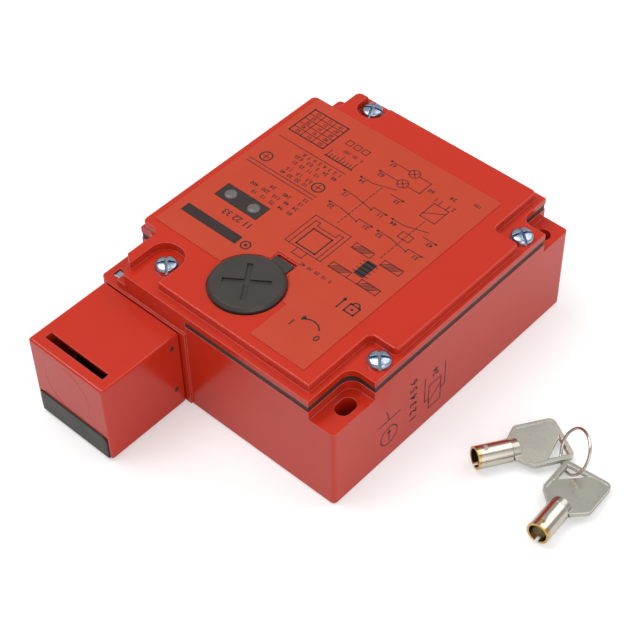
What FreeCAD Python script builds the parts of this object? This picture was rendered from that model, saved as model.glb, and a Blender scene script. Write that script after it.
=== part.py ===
"""Tongue interlock switch with a turret head, a solenoid lock and a key release.

Frame: millimetres, +Z up from the mounting face, the head points along -Y.
The origin is the centre of the four fixing holes on the mounting face.
"""
import FreeCAD, Part
import math
import os
import re
import Sketcher

Vector = FreeCAD.Vector
document = FreeCAD.newDocument("tongue_interlock_switch")
sheet = document.addObject("Spreadsheet::Sheet", "Sizes")

# ---------------------------------------------------------------- driving sizes
SIZES = {
    # plays between pieces
    "press_play": 0.02,
    "seat_play": 0.05,
    "fit_play": 0.1,
    "step_play": 0.3,
    # fixing pattern and body
    "fixing_width": 88.0,
    "fixing_length": 95.0,
    "fixing_hole_radius": 2.65,
    "fixing_slot_length": 7.5,
    "margin_front": 11.0,
    "margin_back": 7.0,
    "margin_side": 5.0,
    "wall_thickness": 3.2,
    "base_thickness": 3.0,
    "lug_height": 33.0,
    "rim_height": 36.4,
    "body_corner_radius": 1.5,
    "step_corner_radius": 4.0,
    "lug_right_width": 9.7,
    "lug_front_left_width": 7.7,
    "lug_back_left_width": 10.5,
    "lug_front_depth": 18.3,
    "lug_back_depth": 13.2,
    "nose_width": 3.6,
    "nose_depth": 5.6,
    # cover and gasket
    "gasket_thickness": 2.3,
    "gasket_inset": 0.2,
    "flange_thickness": 2.3,
    "plateau_height": 3.0,
    "plateau_front_margin": 2.9,
    "plateau_back_margin": 2.0,
    "plateau_side_margin": 1.8,
    "plateau_left_margin": 0.5,
    "plateau_corner_radius": 2.0,
    "plateau_edge_radius": 0.5,
    "notch_width": 12.0,
    "front_notch_end": 30.0,
    "back_notch_start": 24.5,
    "pocket_front_left": 11.5,
    "pocket_front_right": 24.0,
    "pocket_front_end": 18.0,
    "pocket_back_left": 14.7,
    "pocket_back_right": 24.8,
    "pocket_back_start": 10.7,
    "cover_skin": 2.7,
    "hollow_left": 7.0,
    "hollow_front": 35.0,
    "hollow_margin": 4.0,
    "post_radius": 1.7,
    "skirt_drop": 2.9,
    "skirt_thickness": 2.2,
    # cover screws
    "screw_head_radius": 3.65,
    "screw_head_height": 2.5,
    "screw_shank_radius": 1.95,
    "screw_length": 13.0,
    "screw_play": 0.25,
    "boss_margin": 4.6,
    "screw_right_inset": 4.5,
    "screw_front_right": 25.3,
    "screw_back_right": 19.5,
    "screw_left_inset": 18.9,
    "screw_front_left": 11.3,
    "screw_back_left": 4.8,
    # turret head
    "head_side_inset": 19.0,
    "head_axis_height": 16.7,
    "head_width": 33.0,
    "head_height": 32.2,
    "head_length": 31.4,
    "head_wall": 3.0,
    "head_gap": 0.5,
    "head_edge_radius": 0.8,
    "pad_thickness": 0.8,
    "pad_margin": 2.3,
    "slot_width": 25.7,
    "slot_thickness": 2.7,
    "slot_reach": 11.45,
    "slot_lip": 1.0,
    "slot_relief": 1.2,
    "cam_setback": 16.2,
    "plug_width": 30.6,
    "plug_height": 9.5,
    "plug_thickness": 1.4,
    "plug_proud": 0.5,
    "plug_corner_radius": 2.5,
    "back_plate_thickness": 3.8,
    "back_plate_play": 0.1,
    "head_pin_radius": 1.0,
    "head_pin_setback": 2.8,
    "head_pin_depth": 28.0,
    "upper_pin_rise": 11.5,
    "lower_pin_drop": 7.6,
    "bush_radius": 6.0,
    "bush_play": 0.08,
    "bush_flange_radius": 8.5,
    "bush_flange_thickness": 1.2,
    "bush_nut_radius": 7.6,
    "bush_nut_thickness": 4.0,
    "nut_slot_width": 2.0,
    "nut_slot_depth": 1.5,
    "seal_radius": 12.0,
    # actuator cam and push rod
    "cam_low_radius": 4.0,
    "cam_high_radius": 9.0,
    "cam_width": 8.0,
    "cam_disc_radius": 10.0,
    "cam_disc_thickness": 3.0,
    "cam_hub_radius": 3.2,
    "cam_notch_width": 4.4,
    "cam_notch_depth": 3.6,
    "cam_heel_angle": 50.0,
    "first_notch_angle": 145.0,
    "second_notch_angle": 305.0,
    "cam_span": 24.0,
    "cam_axle_radius": 1.5,
    "running_play": 0.05,
    "rod_radius": 3.0,
    "rod_neck_radius": 2.2,
    "rod_tip_radius": 0.7,
    "rod_tip_gap": 0.3,
    "rod_tip_length": 3.6,
    "rod_collar_radius": 5.0,
    "rod_collar_thickness": 1.3,
    "collar_setback": 24.5,
    "contact_start": 31.0,
    # contact block
    "contact_length": 46.0,
    "contact_width": 30.0,
    "contact_channel": 16.0,
    "contact_shelf_height": 20.0,
    "contact_base_thickness": 2.0,
    "carrier_width": 8.0,
    "carrier_height": 9.0,
    "carrier_length": 37.0,
    "carrier_play": 0.2,
    "channel_end_wall": 2.0,
    "window_first": 3.0,
    "window_second": 14.0,
    "window_third": 29.0,
    "ear_thickness": 2.0,
    "ear_length": 6.0,
    "bridge_length": 15.0,
    "bridge_thickness": 1.0,
    "bridge_height": 4.5,
    "window_length": 6.5,
    "contact_gap": 5.3,
    "contact_thickness": 1.2,
    "strip_back": 5.4,
    "strip_front": 7.1,
    "terminal_inset": 2.6,
    "terminal_offset": 11.5,
    "terminal_head_radius": 2.8,
    "terminal_head_height": 1.9,
    "terminal_shank_radius": 1.5,
    "small_screw_radius": 1.6,
    "small_screw_head_radius": 2.9,
    "small_screw_head_height": 2.0,
    "spring_wire_radius": 0.3,
    "return_spring_radius": 3.2,
    # solenoid and lock bolt
    "solenoid_left": 8.0,
    "solenoid_side_gap": 15.0,
    "solenoid_width": 23.0,
    "solenoid_height": 26.0,
    "yoke_thickness": 2.0,
    "yoke_screw_inset": 6.0,
    "armature_radius": 4.0,
    "armature_flange_radius": 5.5,
    "coil_radius": 10.3,
    "bobbin_wall": 1.2,
    "bolt_width": 2.8,
    "bolt_height": 8.0,
    "bolt_travel": 2.5,
    "bolt_rod_gap": 0.4,
    "bolt_tail": 28.0,
    "bolt_spring_length": 7.8,
    "core_length": 8.0,
    "push_pin_radius": 1.5,
    "bolt_guide_setback": 8.0,
    "bolt_gap": 0.3,
    "bolt_guide_length": 6.0,
    "bolt_guide_width": 6.4,
    "bolt_spring_radius": 4.9,
    # key lock and cap
    "lock_left": 4.0,
    "lock_setback": 20.1,
    "lock_barrel_radius": 9.0,
    "lock_flange_radius": 10.5,
    "lock_flange_thickness": 1.2,
    "lock_bottom": 24.8,
    "lock_core_radius": 5.6,
    "lock_nut_radius": 12.5,
    "lock_nut_thickness": 3.0,
    "lock_cam_thickness": 1.8,
    "lock_cam_reach": 8.5,
    "keyway_outer_radius": 3.85,
    "keyway_inner_radius": 2.9,
    "keyway_depth": 6.0,
    "cap_radius": 12.15,
    "cap_height": 2.5,
    "cap_skin": 1.1,
    "cap_seat_depth": 0.8,
    "cap_seat_play": 0.4,
    "cap_cross_length": 15.3,
    "cap_cross_width": 1.8,
    "cap_cross_depth": 0.7,
    "cap_cross_angle": 35.0,
    "cap_tab_width": 7.3,
    "cap_tab_shift": 2.0,
    "cap_tab_reach": 15.0,
    "cap_tab_thickness": 1.0,
    "tab_recess_reach": 16.2,
    # label film, display window and board
    "film_thickness": 0.25,
    "film_left_margin": 3.0,
    "film_right_margin": 17.0,
    "film_front": 6.3,
    "film_step": 22.0,
    "film_back_margin": 14.0,
    "film_notch_right": 14.5,
    "film_tab_play": 0.8,
    "window_width": 18.0,
    "window_depth": 6.5,
    "window_side_inset": 18.5,
    "window_setback": 45.5,
    "window_thickness": 1.0,
    "lens_radius": 2.15,
    "lens_spacing": 10.0,
    "lens_proud": 0.5,
    "board_thickness": 1.6,
    "led_height": 1.7,
    # cable side
    "entry_radius": 9.2,
    "entry_height": 18.0,
    "entry_left": 6.0,
    "entry_right": 22.0,
    "entry_boss_radius": 12.5,
    "entry_boss_length": 3.8,
    "terminal_block_length": 36.0,
    "terminal_block_width": 12.0,
    "terminal_block_height": 13.0,
    "terminal_block_setback": 27.0,
    "terminal_block_left": 4.0,
    "block_screw_inset": 3.0,
    "earth_shift": 10.0,
    "earth_gap": 16.0,
    "corner_plug_width": 4.2,
    "corner_plug_depth": 3.0,
    "corner_plug_length": 6.0,
    "corner_plug_start": 3.0,
    # keys and ring
    "key_tube_radius": 3.7,
    "key_bore_radius": 3.0,
    "key_tube_length": 11.5,
    "nib_length": 1.4,
    "nib_width": 1.2,
    "nib_start": 2.2,
    "mouth_slot_width": 1.1,
    "key_bow_width": 16.6,
    "key_bow_length": 14.0,
    "key_bow_thickness": 1.6,
    "key_bow_border": 1.1,
    "key_neck_length": 4.5,
    "key_neck_width": 8.4,
    "key_bow_radius": 2.2,
    "key_hole_leg": 6.6,
    "key_hole_margin": 1.9,
    "key_hole_bevel": 0.55,
    "key_bow_rise": 1.0,
    "first_key_right": 22.3,
    "first_key_setback": 38.8,
    "first_key_angle": 61.0,
    "first_ring_along": 1.2,
    "first_ring_across": 2.0,
    "second_key_right": 53.7,
    "second_key_setback": 29.0,
    "second_key_angle": 95.0,
    "second_ring_along": 2.1,
    "second_ring_across": 2.1,
    "ring_radius": 7.2,
    "ring_wire_radius": 0.5,
    "ring_lean": 28.0,
}

for row, (alias, value) in enumerate(SIZES.items(), start=1):
    sheet.set(f"A{row}", alias)
    sheet.set(f"B{row}", str(value))
    sheet.setAlias(f"B{row}", alias)
document.recompute()

# places that several pieces share, as formulas over the sheet
FRONT = "(0 - fixing_length / 2 - margin_front)"
BACK = "(fixing_length / 2 + margin_back)"
RIGHT = "(fixing_width / 2 + margin_side)"
LEFT = "(0 - fixing_width / 2 - margin_side)"
GASKET_TOP = "(rim_height + gasket_thickness)"
FLANGE_TOP = f"({GASKET_TOP} + flange_thickness)"
COVER_TOP = f"({FLANGE_TOP} + plateau_height)"
FRONT_LUG = f"({FRONT} + lug_front_depth)"
BACK_LUG = f"({BACK} - lug_back_depth)"
HEAD_X = f"({LEFT} + head_side_inset)"
HEAD_BACK = f"({FRONT} - pad_thickness - head_gap)"
HEAD_FRONT = f"({HEAD_BACK} - head_length)"
CAM_Y = f"({FRONT} - cam_setback)"
CAM_TRAVEL = "(cam_high_radius - cam_low_radius)"
LOCK_X = "(0 - lock_left)"
LOCK_Y = f"({FRONT} + lock_setback)"
TAB_X = f"({LOCK_X} + cap_tab_shift)"
WINDOW_X = f"({LEFT} + window_side_inset)"
WINDOW_Y = f"({FRONT} + window_setback)"
COLLAR_Y = f"({FRONT} + collar_setback)"
BOLT_Y = f"({COLLAR_Y} + rod_collar_thickness + bolt_gap + bolt_width / 2)"
CONTACT_Y = f"({FRONT} + contact_start)"
CEILING = f"({COVER_TOP} - cover_skin)"
SOLENOID_END = f"({RIGHT} - solenoid_side_gap)"
SCREW_PLACES = [
    (f"{RIGHT} - screw_right_inset", f"{FRONT} + screw_front_right"),
    (f"{RIGHT} - screw_right_inset", f"{BACK} - screw_back_right"),
    (f"{LEFT} + screw_left_inset", f"{BACK} - screw_back_left"),
    (f"{LEFT} + screw_left_inset", f"{FRONT} + screw_front_left"),
]


# ---------------------------------------------------------------- helpers
def formula(text):
    """Return the text with every size name written as a cell of the sheet."""
    return re.sub(r"[a-z][a-z0-9_]*", lambda word: "Sizes." + word.group(0), str(text))


def number(text):
    """Return the value that a formula over the sheet has now."""
    return float(sheet.evalExpression(formula(text)))


def bind(item, name, text):
    """Tie one property of an object to a formula over the sheet."""
    item.setExpression(name, formula(text))


def place(item, x="0", y="0", z="0", axis=None, angle=0.0):
    """Set where an object stands, its position tied to the sheet."""
    if axis is not None:
        item.Placement = FreeCAD.Placement(Vector(), FreeCAD.Rotation(axis, angle))
    for name, text in zip("xyz", (x, y, z)):
        bind(item, "Placement.Base." + name, text)


ALONG_X = (Vector(0, 1, 0), 90)
ALONG_Y = (Vector(1, 0, 0), -90)
ALONG_Z = (None, 0)


def block(name, low, high):
    """Return a box between two corners given as formulas."""
    item = document.addObject("Part::Box", name)
    for side, first, last in zip(("Length", "Width", "Height"), low, high):
        bind(item, side, f"({last}) - ({first})")
    place(item, *low)
    return item


def rod(name, start, radius, length, direction=ALONG_Z):
    """Return a cylinder from a start point along one axis."""
    item = document.addObject("Part::Cylinder", name)
    bind(item, "Radius", radius)
    bind(item, "Height", length)
    place(item, *start, *direction)
    return item


def join(name, *items):
    """Return the union of some objects."""
    item = document.addObject("Part::MultiFuse", name)
    item.Shapes = list(items)
    item.Refine = True
    return item


def carve(name, base, *tools):
    """Return an object less one or more others."""
    tool = tools[0] if len(tools) == 1 else join(name + "_tools", *tools)
    item = document.addObject("Part::Cut", name)
    item.Base = base
    item.Tool = tool
    item.Refine = True
    return item


def new_body(name):
    """Return an empty body."""
    body = document.addObject("PartDesign::Body", name + "_body")
    body.Label = name
    return body


def sketch_on(body, role="XY_Plane", offset="0", shift=("0", "0"), turn="0"):
    """Return a sketch on one of the body's own planes, moved and turned on it."""
    sketch = body.newObject("Sketcher::SketchObject", body.Name + "_sketch")
    plane = next(item for item in body.Origin.OriginFeatures if item.Role == role)
    sketch.AttachmentSupport = [(plane, "")]
    sketch.MapMode = "FlatFace"
    turned = FreeCAD.Rotation(Vector(0, 0, 1), number(turn))
    sketch.AttachmentOffset = FreeCAD.Placement(Vector(), turned)
    for name, text in zip("xyz", (*shift, offset)):
        bind(sketch, "AttachmentOffset.Base." + name, text)
    return sketch


def fix_point(sketch, index, end, x, y):
    """Tie one point of a sketch to two formulas."""
    for kind, text in (("DistanceX", x), ("DistanceY", y)):
        limit = Sketcher.Constraint(kind, -1, 1, index, end, number(text))
        added = sketch.addConstraint(limit)
        sketch.setExpression(f"Constraints[{added}]", formula(text))


def outline(sketch, points):
    """Draw a closed outline of straight lines through points given as formulas."""
    first = sketch.GeometryCount
    here = [Vector(number(x), number(y), 0) for x, y in points]
    for start, end in zip(here, here[1:] + here[:1]):
        sketch.addGeometry(Part.LineSegment(start, end))
    for index in range(len(points)):
        after = first + (index + 1) % len(points)
        sketch.addConstraint(Sketcher.Constraint("Coincident", first + index, 2, after, 1))
    for index, (x, y) in enumerate(points):
        fix_point(sketch, first + index, 1, x, y)


def circle(sketch, x, y, radius):
    """Draw a circle about a point given as formulas."""
    index = sketch.GeometryCount
    centre = Vector(number(x), number(y), 0)
    sketch.addGeometry(Part.Circle(centre, Vector(0, 0, 1), number(radius)))
    added = sketch.addConstraint(Sketcher.Constraint("Radius", index, number(radius)))
    sketch.setExpression(f"Constraints[{added}]", formula(radius))
    fix_point(sketch, index, 3, x, y)


def rectangle(x_low, y_low, x_high, y_high):
    """Return the corners of a rectangle."""
    return [(x_low, y_low), (x_high, y_low), (x_high, y_high), (x_low, y_high)]


def settle(body, feature):
    """Work a new feature out and stop the build if it failed."""
    document.recompute()
    if feature.Shape.isNull() or "Invalid" in feature.State:
        raise RuntimeError(f"{body.Label}: {feature.Name} failed")
    return feature


def pad(body, sketch, length, towards=1):
    """Add a prism from a sketch; towards -1 turns it against the plane's normal."""
    feature = body.newObject("PartDesign::Pad", body.Name + "_pad")
    feature.Profile = sketch
    feature.Reversed = towards < 0
    bind(feature, "Length", length)
    return settle(body, feature)


def pocket(body, sketch, depth, towards=-1):
    """Cut a prism from a sketch; towards 1 goes along the normal, 0 both ways."""
    before = body.Shape.Volume
    feature = body.newObject("PartDesign::Pocket", body.Name + "_pocket")
    feature.Profile = sketch
    feature.Reversed = towards > 0
    feature.Midplane = towards == 0
    bind(feature, "Length", depth)
    settle(body, feature)
    if feature.Shape.Volume > before - 1e-6:
        raise RuntimeError(f"{body.Label}: {feature.Name} cuts nothing")
    return feature


def revolve(body, sketch, axis="V_Axis"):
    """Add a full turn of a sketch about its own vertical or horizontal axis."""
    feature = body.newObject("PartDesign::Revolution", body.Name + "_turn")
    feature.Profile = sketch
    feature.ReferenceAxis = (sketch, [axis])
    feature.Angle = 360
    return settle(body, feature)


def soften(body, base, edges, size, kind="Fillet"):
    """Round or bevel the named edges of a feature."""
    if not edges:
        raise RuntimeError(f"{body.Label}: no edge to soften")
    feature = body.newObject("PartDesign::" + kind, body.Name + "_soft")
    feature.Base = (base, edges)
    bind(feature, "Radius" if kind == "Fillet" else "Size", size)
    return settle(body, feature)


def upright_edges(shape, places, low=None, high=None):
    """Name the vertical edges that stand at the given places."""
    wanted = [(number(x), number(y)) for x, y in places]
    names = []
    for index, edge in enumerate(shape.Edges, start=1):
        ends = [vertex.Point for vertex in edge.Vertexes]
        if len(ends) != 2 or abs(ends[0].x - ends[1].x) + abs(ends[0].y - ends[1].y) > 1e-6:
            continue
        middle = (ends[0].z + ends[1].z) / 2
        if low is not None and not number(low) < middle < number(high):
            continue
        if any(abs(ends[0].x - x) + abs(ends[0].y - y) < 1e-4 for x, y in wanted):
            names.append(f"Edge{index}")
    return names


def level_edges(shape, height, keep=lambda middle: True):
    """Name the edges that lie flat at one height."""
    level = number(height)
    names = []
    for index, edge in enumerate(shape.Edges, start=1):
        box = edge.BoundBox
        if abs(box.ZMin - level) < 1e-4 and abs(box.ZMax - level) < 1e-4 and keep(box.Center):
            names.append(f"Edge{index}")
    return names


def copies(name, source, spots):
    """Return one group of separate solids: the source shape moved to each spot."""
    document.recompute()
    shapes = []
    for x, y, z in spots:
        copy = source.Shape.copy()
        copy.translate(Vector(number(x), number(y), number(z)))
        shapes.append(copy)
    item = document.addObject("Part::Feature", name)
    item.Shape = Part.makeCompound(shapes)
    return item


def coil(name, radius, length, turns, start, direction):
    """Return a compression spring of six-sided wire that ends just short of both seats."""
    wire, mean = number("spring_wire_radius"), number(radius)
    lift = wire + 0.05
    rise = (number(length) - 2 * lift) / turns
    sides, steps = 6, 12
    rings = []
    for step in range(turns * steps + 1):
        turned = 2 * math.pi * step / steps
        outward = Vector(math.cos(turned), math.sin(turned), 0)
        centre = outward * mean + Vector(0, 0, lift + rise * step / steps)
        corners = [2 * math.pi * side / sides for side in range(sides)]
        rings.append(
            [centre + outward * wire * math.cos(at) + Vector(0, 0, wire * math.sin(at)) for at in corners]
        )
    faces = [
        Part.Face(Part.makePolygon(ring + ring[:1])) for ring in (rings[0], rings[-1])
    ]
    for near, far in zip(rings, rings[1:]):
        for side in range(sides):
            after = (side + 1) % sides
            for corner in ((near[side], near[after], far[after]), (near[side], far[after], far[side])):
                faces.append(Part.Face(Part.makePolygon([*corner, corner[0]])))
    item = document.addObject("Part::Feature", name)
    item.Shape = Part.Solid(Part.makeShell(faces))
    turn = FreeCAD.Rotation(*direction) if direction[0] is not None else FreeCAD.Rotation()
    item.Placement = FreeCAD.Placement(Vector(*(number(text) for text in start)), turn)
    return item


def cross_outline(inset="0", nose=False):
    """Return the body's plan: a rectangle less its four fixing lugs."""
    left, right = f"{LEFT} + {inset}", f"{RIGHT} - {inset}"
    front, back = f"{FRONT} + {inset}", f"{BACK} - {inset}"
    front_step, back_step = f"{FRONT_LUG} + {inset}", f"{BACK_LUG} - {inset}"
    right_step = f"{RIGHT} - lug_right_width - {inset}"
    front_left = f"{LEFT} + lug_front_left_width + {inset}"
    back_left = f"{LEFT} + lug_back_left_width + {inset}"
    points = [(right_step, front), (right_step, front_step), (right, front_step)]
    points += [(right, back_step), (right_step, back_step), (right_step, back)]
    points += [(back_left, back), (back_left, back_step), (left, back_step)]
    points += [(left, front_step), (front_left, front_step)]
    if nose:
        points += [(front_left, f"{front} + nose_depth"), (f"{front_left} + nose_width", front)]
    else:
        points += [(front_left, front)]
    return points


def step_corners(inset="0"):
    """Return the four inner corners of the body's plan."""
    right_step = f"{RIGHT} - lug_right_width - {inset}"
    front_left = f"{LEFT} + lug_front_left_width + {inset}"
    back_left = f"{LEFT} + lug_back_left_width + {inset}"
    front_step, back_step = f"{FRONT_LUG} + {inset}", f"{BACK_LUG} - {inset}"
    return [
        (right_step, front_step),
        (right_step, back_step),
        (back_left, back_step),
        (front_left, front_step),
    ]


def boss_outlines():
    """Return the plan of the four cover-screw bosses, each grown out of its wall."""
    right_low = f"{RIGHT} - screw_right_inset - boss_margin"
    right_high = f"{RIGHT} - gasket_inset"
    outlines = []
    for setback in (f"{FRONT} + screw_front_right", f"{BACK} - screw_back_right"):
        outlines.append(
            rectangle(right_low, f"{setback} - boss_margin", right_high, f"{setback} + boss_margin")
        )
    left_low = f"{LEFT} + screw_left_inset - boss_margin"
    left_high = f"{LEFT} + screw_left_inset + boss_margin"
    back_low = f"{BACK} - screw_back_left - boss_margin"
    front_high = f"{FRONT} + screw_front_left + boss_margin"
    outlines.append(rectangle(left_low, back_low, left_high, f"{BACK} - gasket_inset"))
    outlines.append(
        rectangle(left_low, f"{FRONT} + skirt_thickness + gasket_inset", left_high, front_high)
    )
    return outlines


# ---------------------------------------------------------------- body and cover
def make_housing():
    """Die-cast tray: four fixing lugs, head pad, cable entries and screw bosses."""
    body = new_body("housing")
    base = sketch_on(body)
    outline(base, rectangle(LEFT, FRONT, RIGHT, BACK))
    pad(body, base, "lug_height")
    upper = sketch_on(body, offset="lug_height - 1")
    outline(upper, cross_outline())
    shell = pad(body, upper, "rim_height - lug_height + 1")
    soften(body, shell, upright_edges(shell.Shape, step_corners()), "step_corner_radius")
    corners = [(LEFT, FRONT), (RIGHT, FRONT), (RIGHT, BACK), (LEFT, BACK)]
    soften(body, body.Tip, upright_edges(body.Shape, corners), "body_corner_radius")
    soften(body, body.Tip, level_edges(body.Shape, "0"), "0.5", "Chamfer")
    cavity = sketch_on(body, offset="rim_height")
    outline(cavity, cross_outline("wall_thickness"))
    pocket(body, cavity, "rim_height - base_thickness")
    soften(
        body,
        body.Tip,
        upright_edges(body.Shape, step_corners("wall_thickness")),
        "step_corner_radius - 1",
    )

    # the two front bosses only hang from the wall, above the push rod and the armature
    right_front, right_back, left_back, left_front = boss_outlines()
    for corner in (right_back, left_back):
        boss = sketch_on(body, offset="base_thickness - 0.5")
        outline(boss, corner)
        pad(body, boss, "rim_height - base_thickness + 0.5")
    for corner in (right_front, left_front):
        hanging = sketch_on(body, offset="rim_height")
        outline(hanging, corner)
        pad(body, hanging, "rim_height - head_axis_height - bush_nut_radius - 1.5", towards=-1)

    head_pad = sketch_on(body, "XZ_Plane", f"0 - {FRONT}")
    outline(
        head_pad,
        rectangle(
            f"{HEAD_X} - head_width / 2 - 0.5",
            "1.0",
            f"{HEAD_X} + head_width / 2 + pad_margin",
            "head_axis_height + head_height / 2 + 0.4",
        ),
    )
    pad(body, head_pad, "pad_thickness")

    skirt_seat = sketch_on(body, offset="rim_height")
    outline(skirt_seat, skirt_outline("0.15"))
    pocket(body, skirt_seat, "skirt_drop + fit_play")

    bush_hole = sketch_on(body, "XZ_Plane", f"0 - {FRONT} + pad_thickness")
    circle(bush_hole, HEAD_X, "head_axis_height", "bush_radius + seat_play")
    pocket(body, bush_hole, "wall_thickness + pad_thickness + 1")

    for entry_x in ("0 - entry_left", "entry_right"):
        boss = sketch_on(body, "XZ_Plane", f"0 - {BACK} + wall_thickness - 0.5")
        circle(boss, entry_x, "entry_height", "entry_boss_radius")
        pad(body, boss, "entry_boss_length + 0.5")
    for entry_x in ("0 - entry_left", "entry_right"):
        hole = sketch_on(body, "XZ_Plane", f"0 - {BACK}")
        circle(hole, entry_x, "entry_height", "entry_radius")
        pocket(body, hole, "wall_thickness + entry_boss_length + 1", towards=1)

    slots = sketch_on(body, offset="lug_height")
    for side in ("0 - fixing_width / 2", "fixing_width / 2"):
        circle(slots, side, "fixing_length / 2", "fixing_hole_radius")
        outline(
            slots,
            rectangle(
                f"{side} - fixing_hole_radius",
                "0 - fixing_length / 2 - fixing_slot_length / 2",
                f"{side} + fixing_hole_radius",
                "0 - fixing_length / 2 + fixing_slot_length / 2",
            ),
        )
    pocket(body, slots, "lug_height + 1")
    ends = []
    for side in ("0 - fixing_width / 2", "fixing_width / 2"):
        for reach in ("- fixing_slot_length / 2", "+ fixing_slot_length / 2"):
            ends.append((f"{side} - fixing_hole_radius", f"0 - fixing_length / 2 {reach}"))
            ends.append((f"{side} + fixing_hole_radius", f"0 - fixing_length / 2 {reach}"))
    soften(body, body.Tip, upright_edges(body.Shape, ends), "fixing_hole_radius - seat_play")

    plug = sketch_on(body, offset="lug_height")
    outline(plug, corner_plug_outline("seat_play"))
    pocket(body, plug, "corner_plug_length")

    threads = sketch_on(body, offset="rim_height")
    for x, y in SCREW_PLACES:
        circle(threads, x, y, "screw_shank_radius + seat_play")
    pocket(body, threads, "screw_length - gasket_thickness - flange_thickness + 1.5")
    small_threads = sketch_on(body, offset="base_thickness")
    for x, y in base_screw_places():
        circle(small_threads, x, y, "small_screw_radius + seat_play")
    pocket(body, small_threads, "2.2")
    return body


def skirt_outline(play="0"):
    """Return the plan of the cover's front skirt above the head."""
    return rectangle(
        f"{LEFT} + lug_front_left_width + nose_width - {play}",
        f"{FRONT} - 1",
        f"{HEAD_X} + head_width / 2 + pad_margin + {play}",
        f"{FRONT} + skirt_thickness + {play}",
    )


def corner_plug_outline(play="0"):
    """Return the plan of the plug in the front-left lug."""
    return rectangle(
        f"0 - fixing_width / 2 - fixing_hole_radius - {play}",
        f"{FRONT} + corner_plug_start - {play}",
        f"0 - fixing_width / 2 - fixing_hole_radius + corner_plug_width + {play}",
        f"{FRONT} + corner_plug_start + corner_plug_depth + {play}",
    )


def base_screw_places():
    """Return where small screws enter the housing's base."""
    contact_ear = f"{CONTACT_Y} + contact_length + ear_length / 2"
    yoke_ear = f"{BOLT_Y} + solenoid_width / 2 + (ear_length + 1) / 2"
    block_ear = f"{BACK} - terminal_block_setback - ear_length / 2"
    block_left = "0 - terminal_block_left"
    places = [(f"{HEAD_X} - terminal_offset", contact_ear), (f"{HEAD_X} + terminal_offset", contact_ear)]
    places.append(("solenoid_left + yoke_screw_inset", yoke_ear))
    places.append((f"{SOLENOID_END} - yoke_screw_inset", yoke_ear))
    places.append((f"{block_left} + block_screw_inset", block_ear))
    places.append((f"{block_left} + terminal_block_length - block_screw_inset", block_ear))
    places.append((f"{HEAD_X} + earth_shift", f"{CONTACT_Y} + contact_length + earth_gap"))
    return places


def make_gasket():
    """Flat seal between the housing's rim and the cover, with the screws through it."""
    body = new_body("cover_gasket")
    plan = sketch_on(body, offset="rim_height")
    outline(plan, cross_outline("gasket_inset", nose=True))
    plate = pad(body, plan, "gasket_thickness")
    soften(body, plate, upright_edges(plate.Shape, step_corners("gasket_inset")), "step_corner_radius")
    inner = sketch_on(body, offset=GASKET_TOP)
    outline(inner, cross_outline("wall_thickness + 0.6"))
    pocket(body, inner, "gasket_thickness")
    for corner in boss_outlines():
        tab = sketch_on(body, offset="rim_height")
        outline(tab, corner)
        pad(body, tab, "gasket_thickness")
    skirt = sketch_on(body, offset=GASKET_TOP)
    outline(skirt, skirt_outline("0.15"))
    pocket(body, skirt, "gasket_thickness")
    holes = sketch_on(body, offset=GASKET_TOP)
    for x, y in SCREW_PLACES:
        circle(holes, x, y, "screw_shank_radius + fit_play")
    pocket(body, holes, "gasket_thickness")
    return body


def plateau_outline():
    """Return the plan of the cover's raised field, stepped round its screws."""
    left = f"{LEFT} + plateau_left_margin"
    right = f"{RIGHT} - plateau_side_margin"
    front = f"{FRONT} + plateau_front_margin"
    back = f"{BACK} - plateau_back_margin"
    notch = f"{RIGHT} - notch_width"
    rib = f"{LEFT} + lug_front_left_width"
    step = f"{LEFT} + lug_back_left_width"
    points = [(notch, front), (notch, f"{FRONT} + front_notch_end")]
    points += [(right, f"{FRONT} + front_notch_end"), (right, f"{BACK} - back_notch_start")]
    points += [(notch, f"{BACK} - back_notch_start"), (notch, back), (step, back)]
    points += [(step, f"{BACK_LUG} - step_play"), (left, f"{BACK_LUG} - step_play")]
    points += [(left, f"{FRONT_LUG} + step_play"), (rib, f"{FRONT_LUG} + step_play")]
    points += [(rib, f"{FRONT} + nose_depth"), (f"{rib} + nose_width", front)]
    return points


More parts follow.
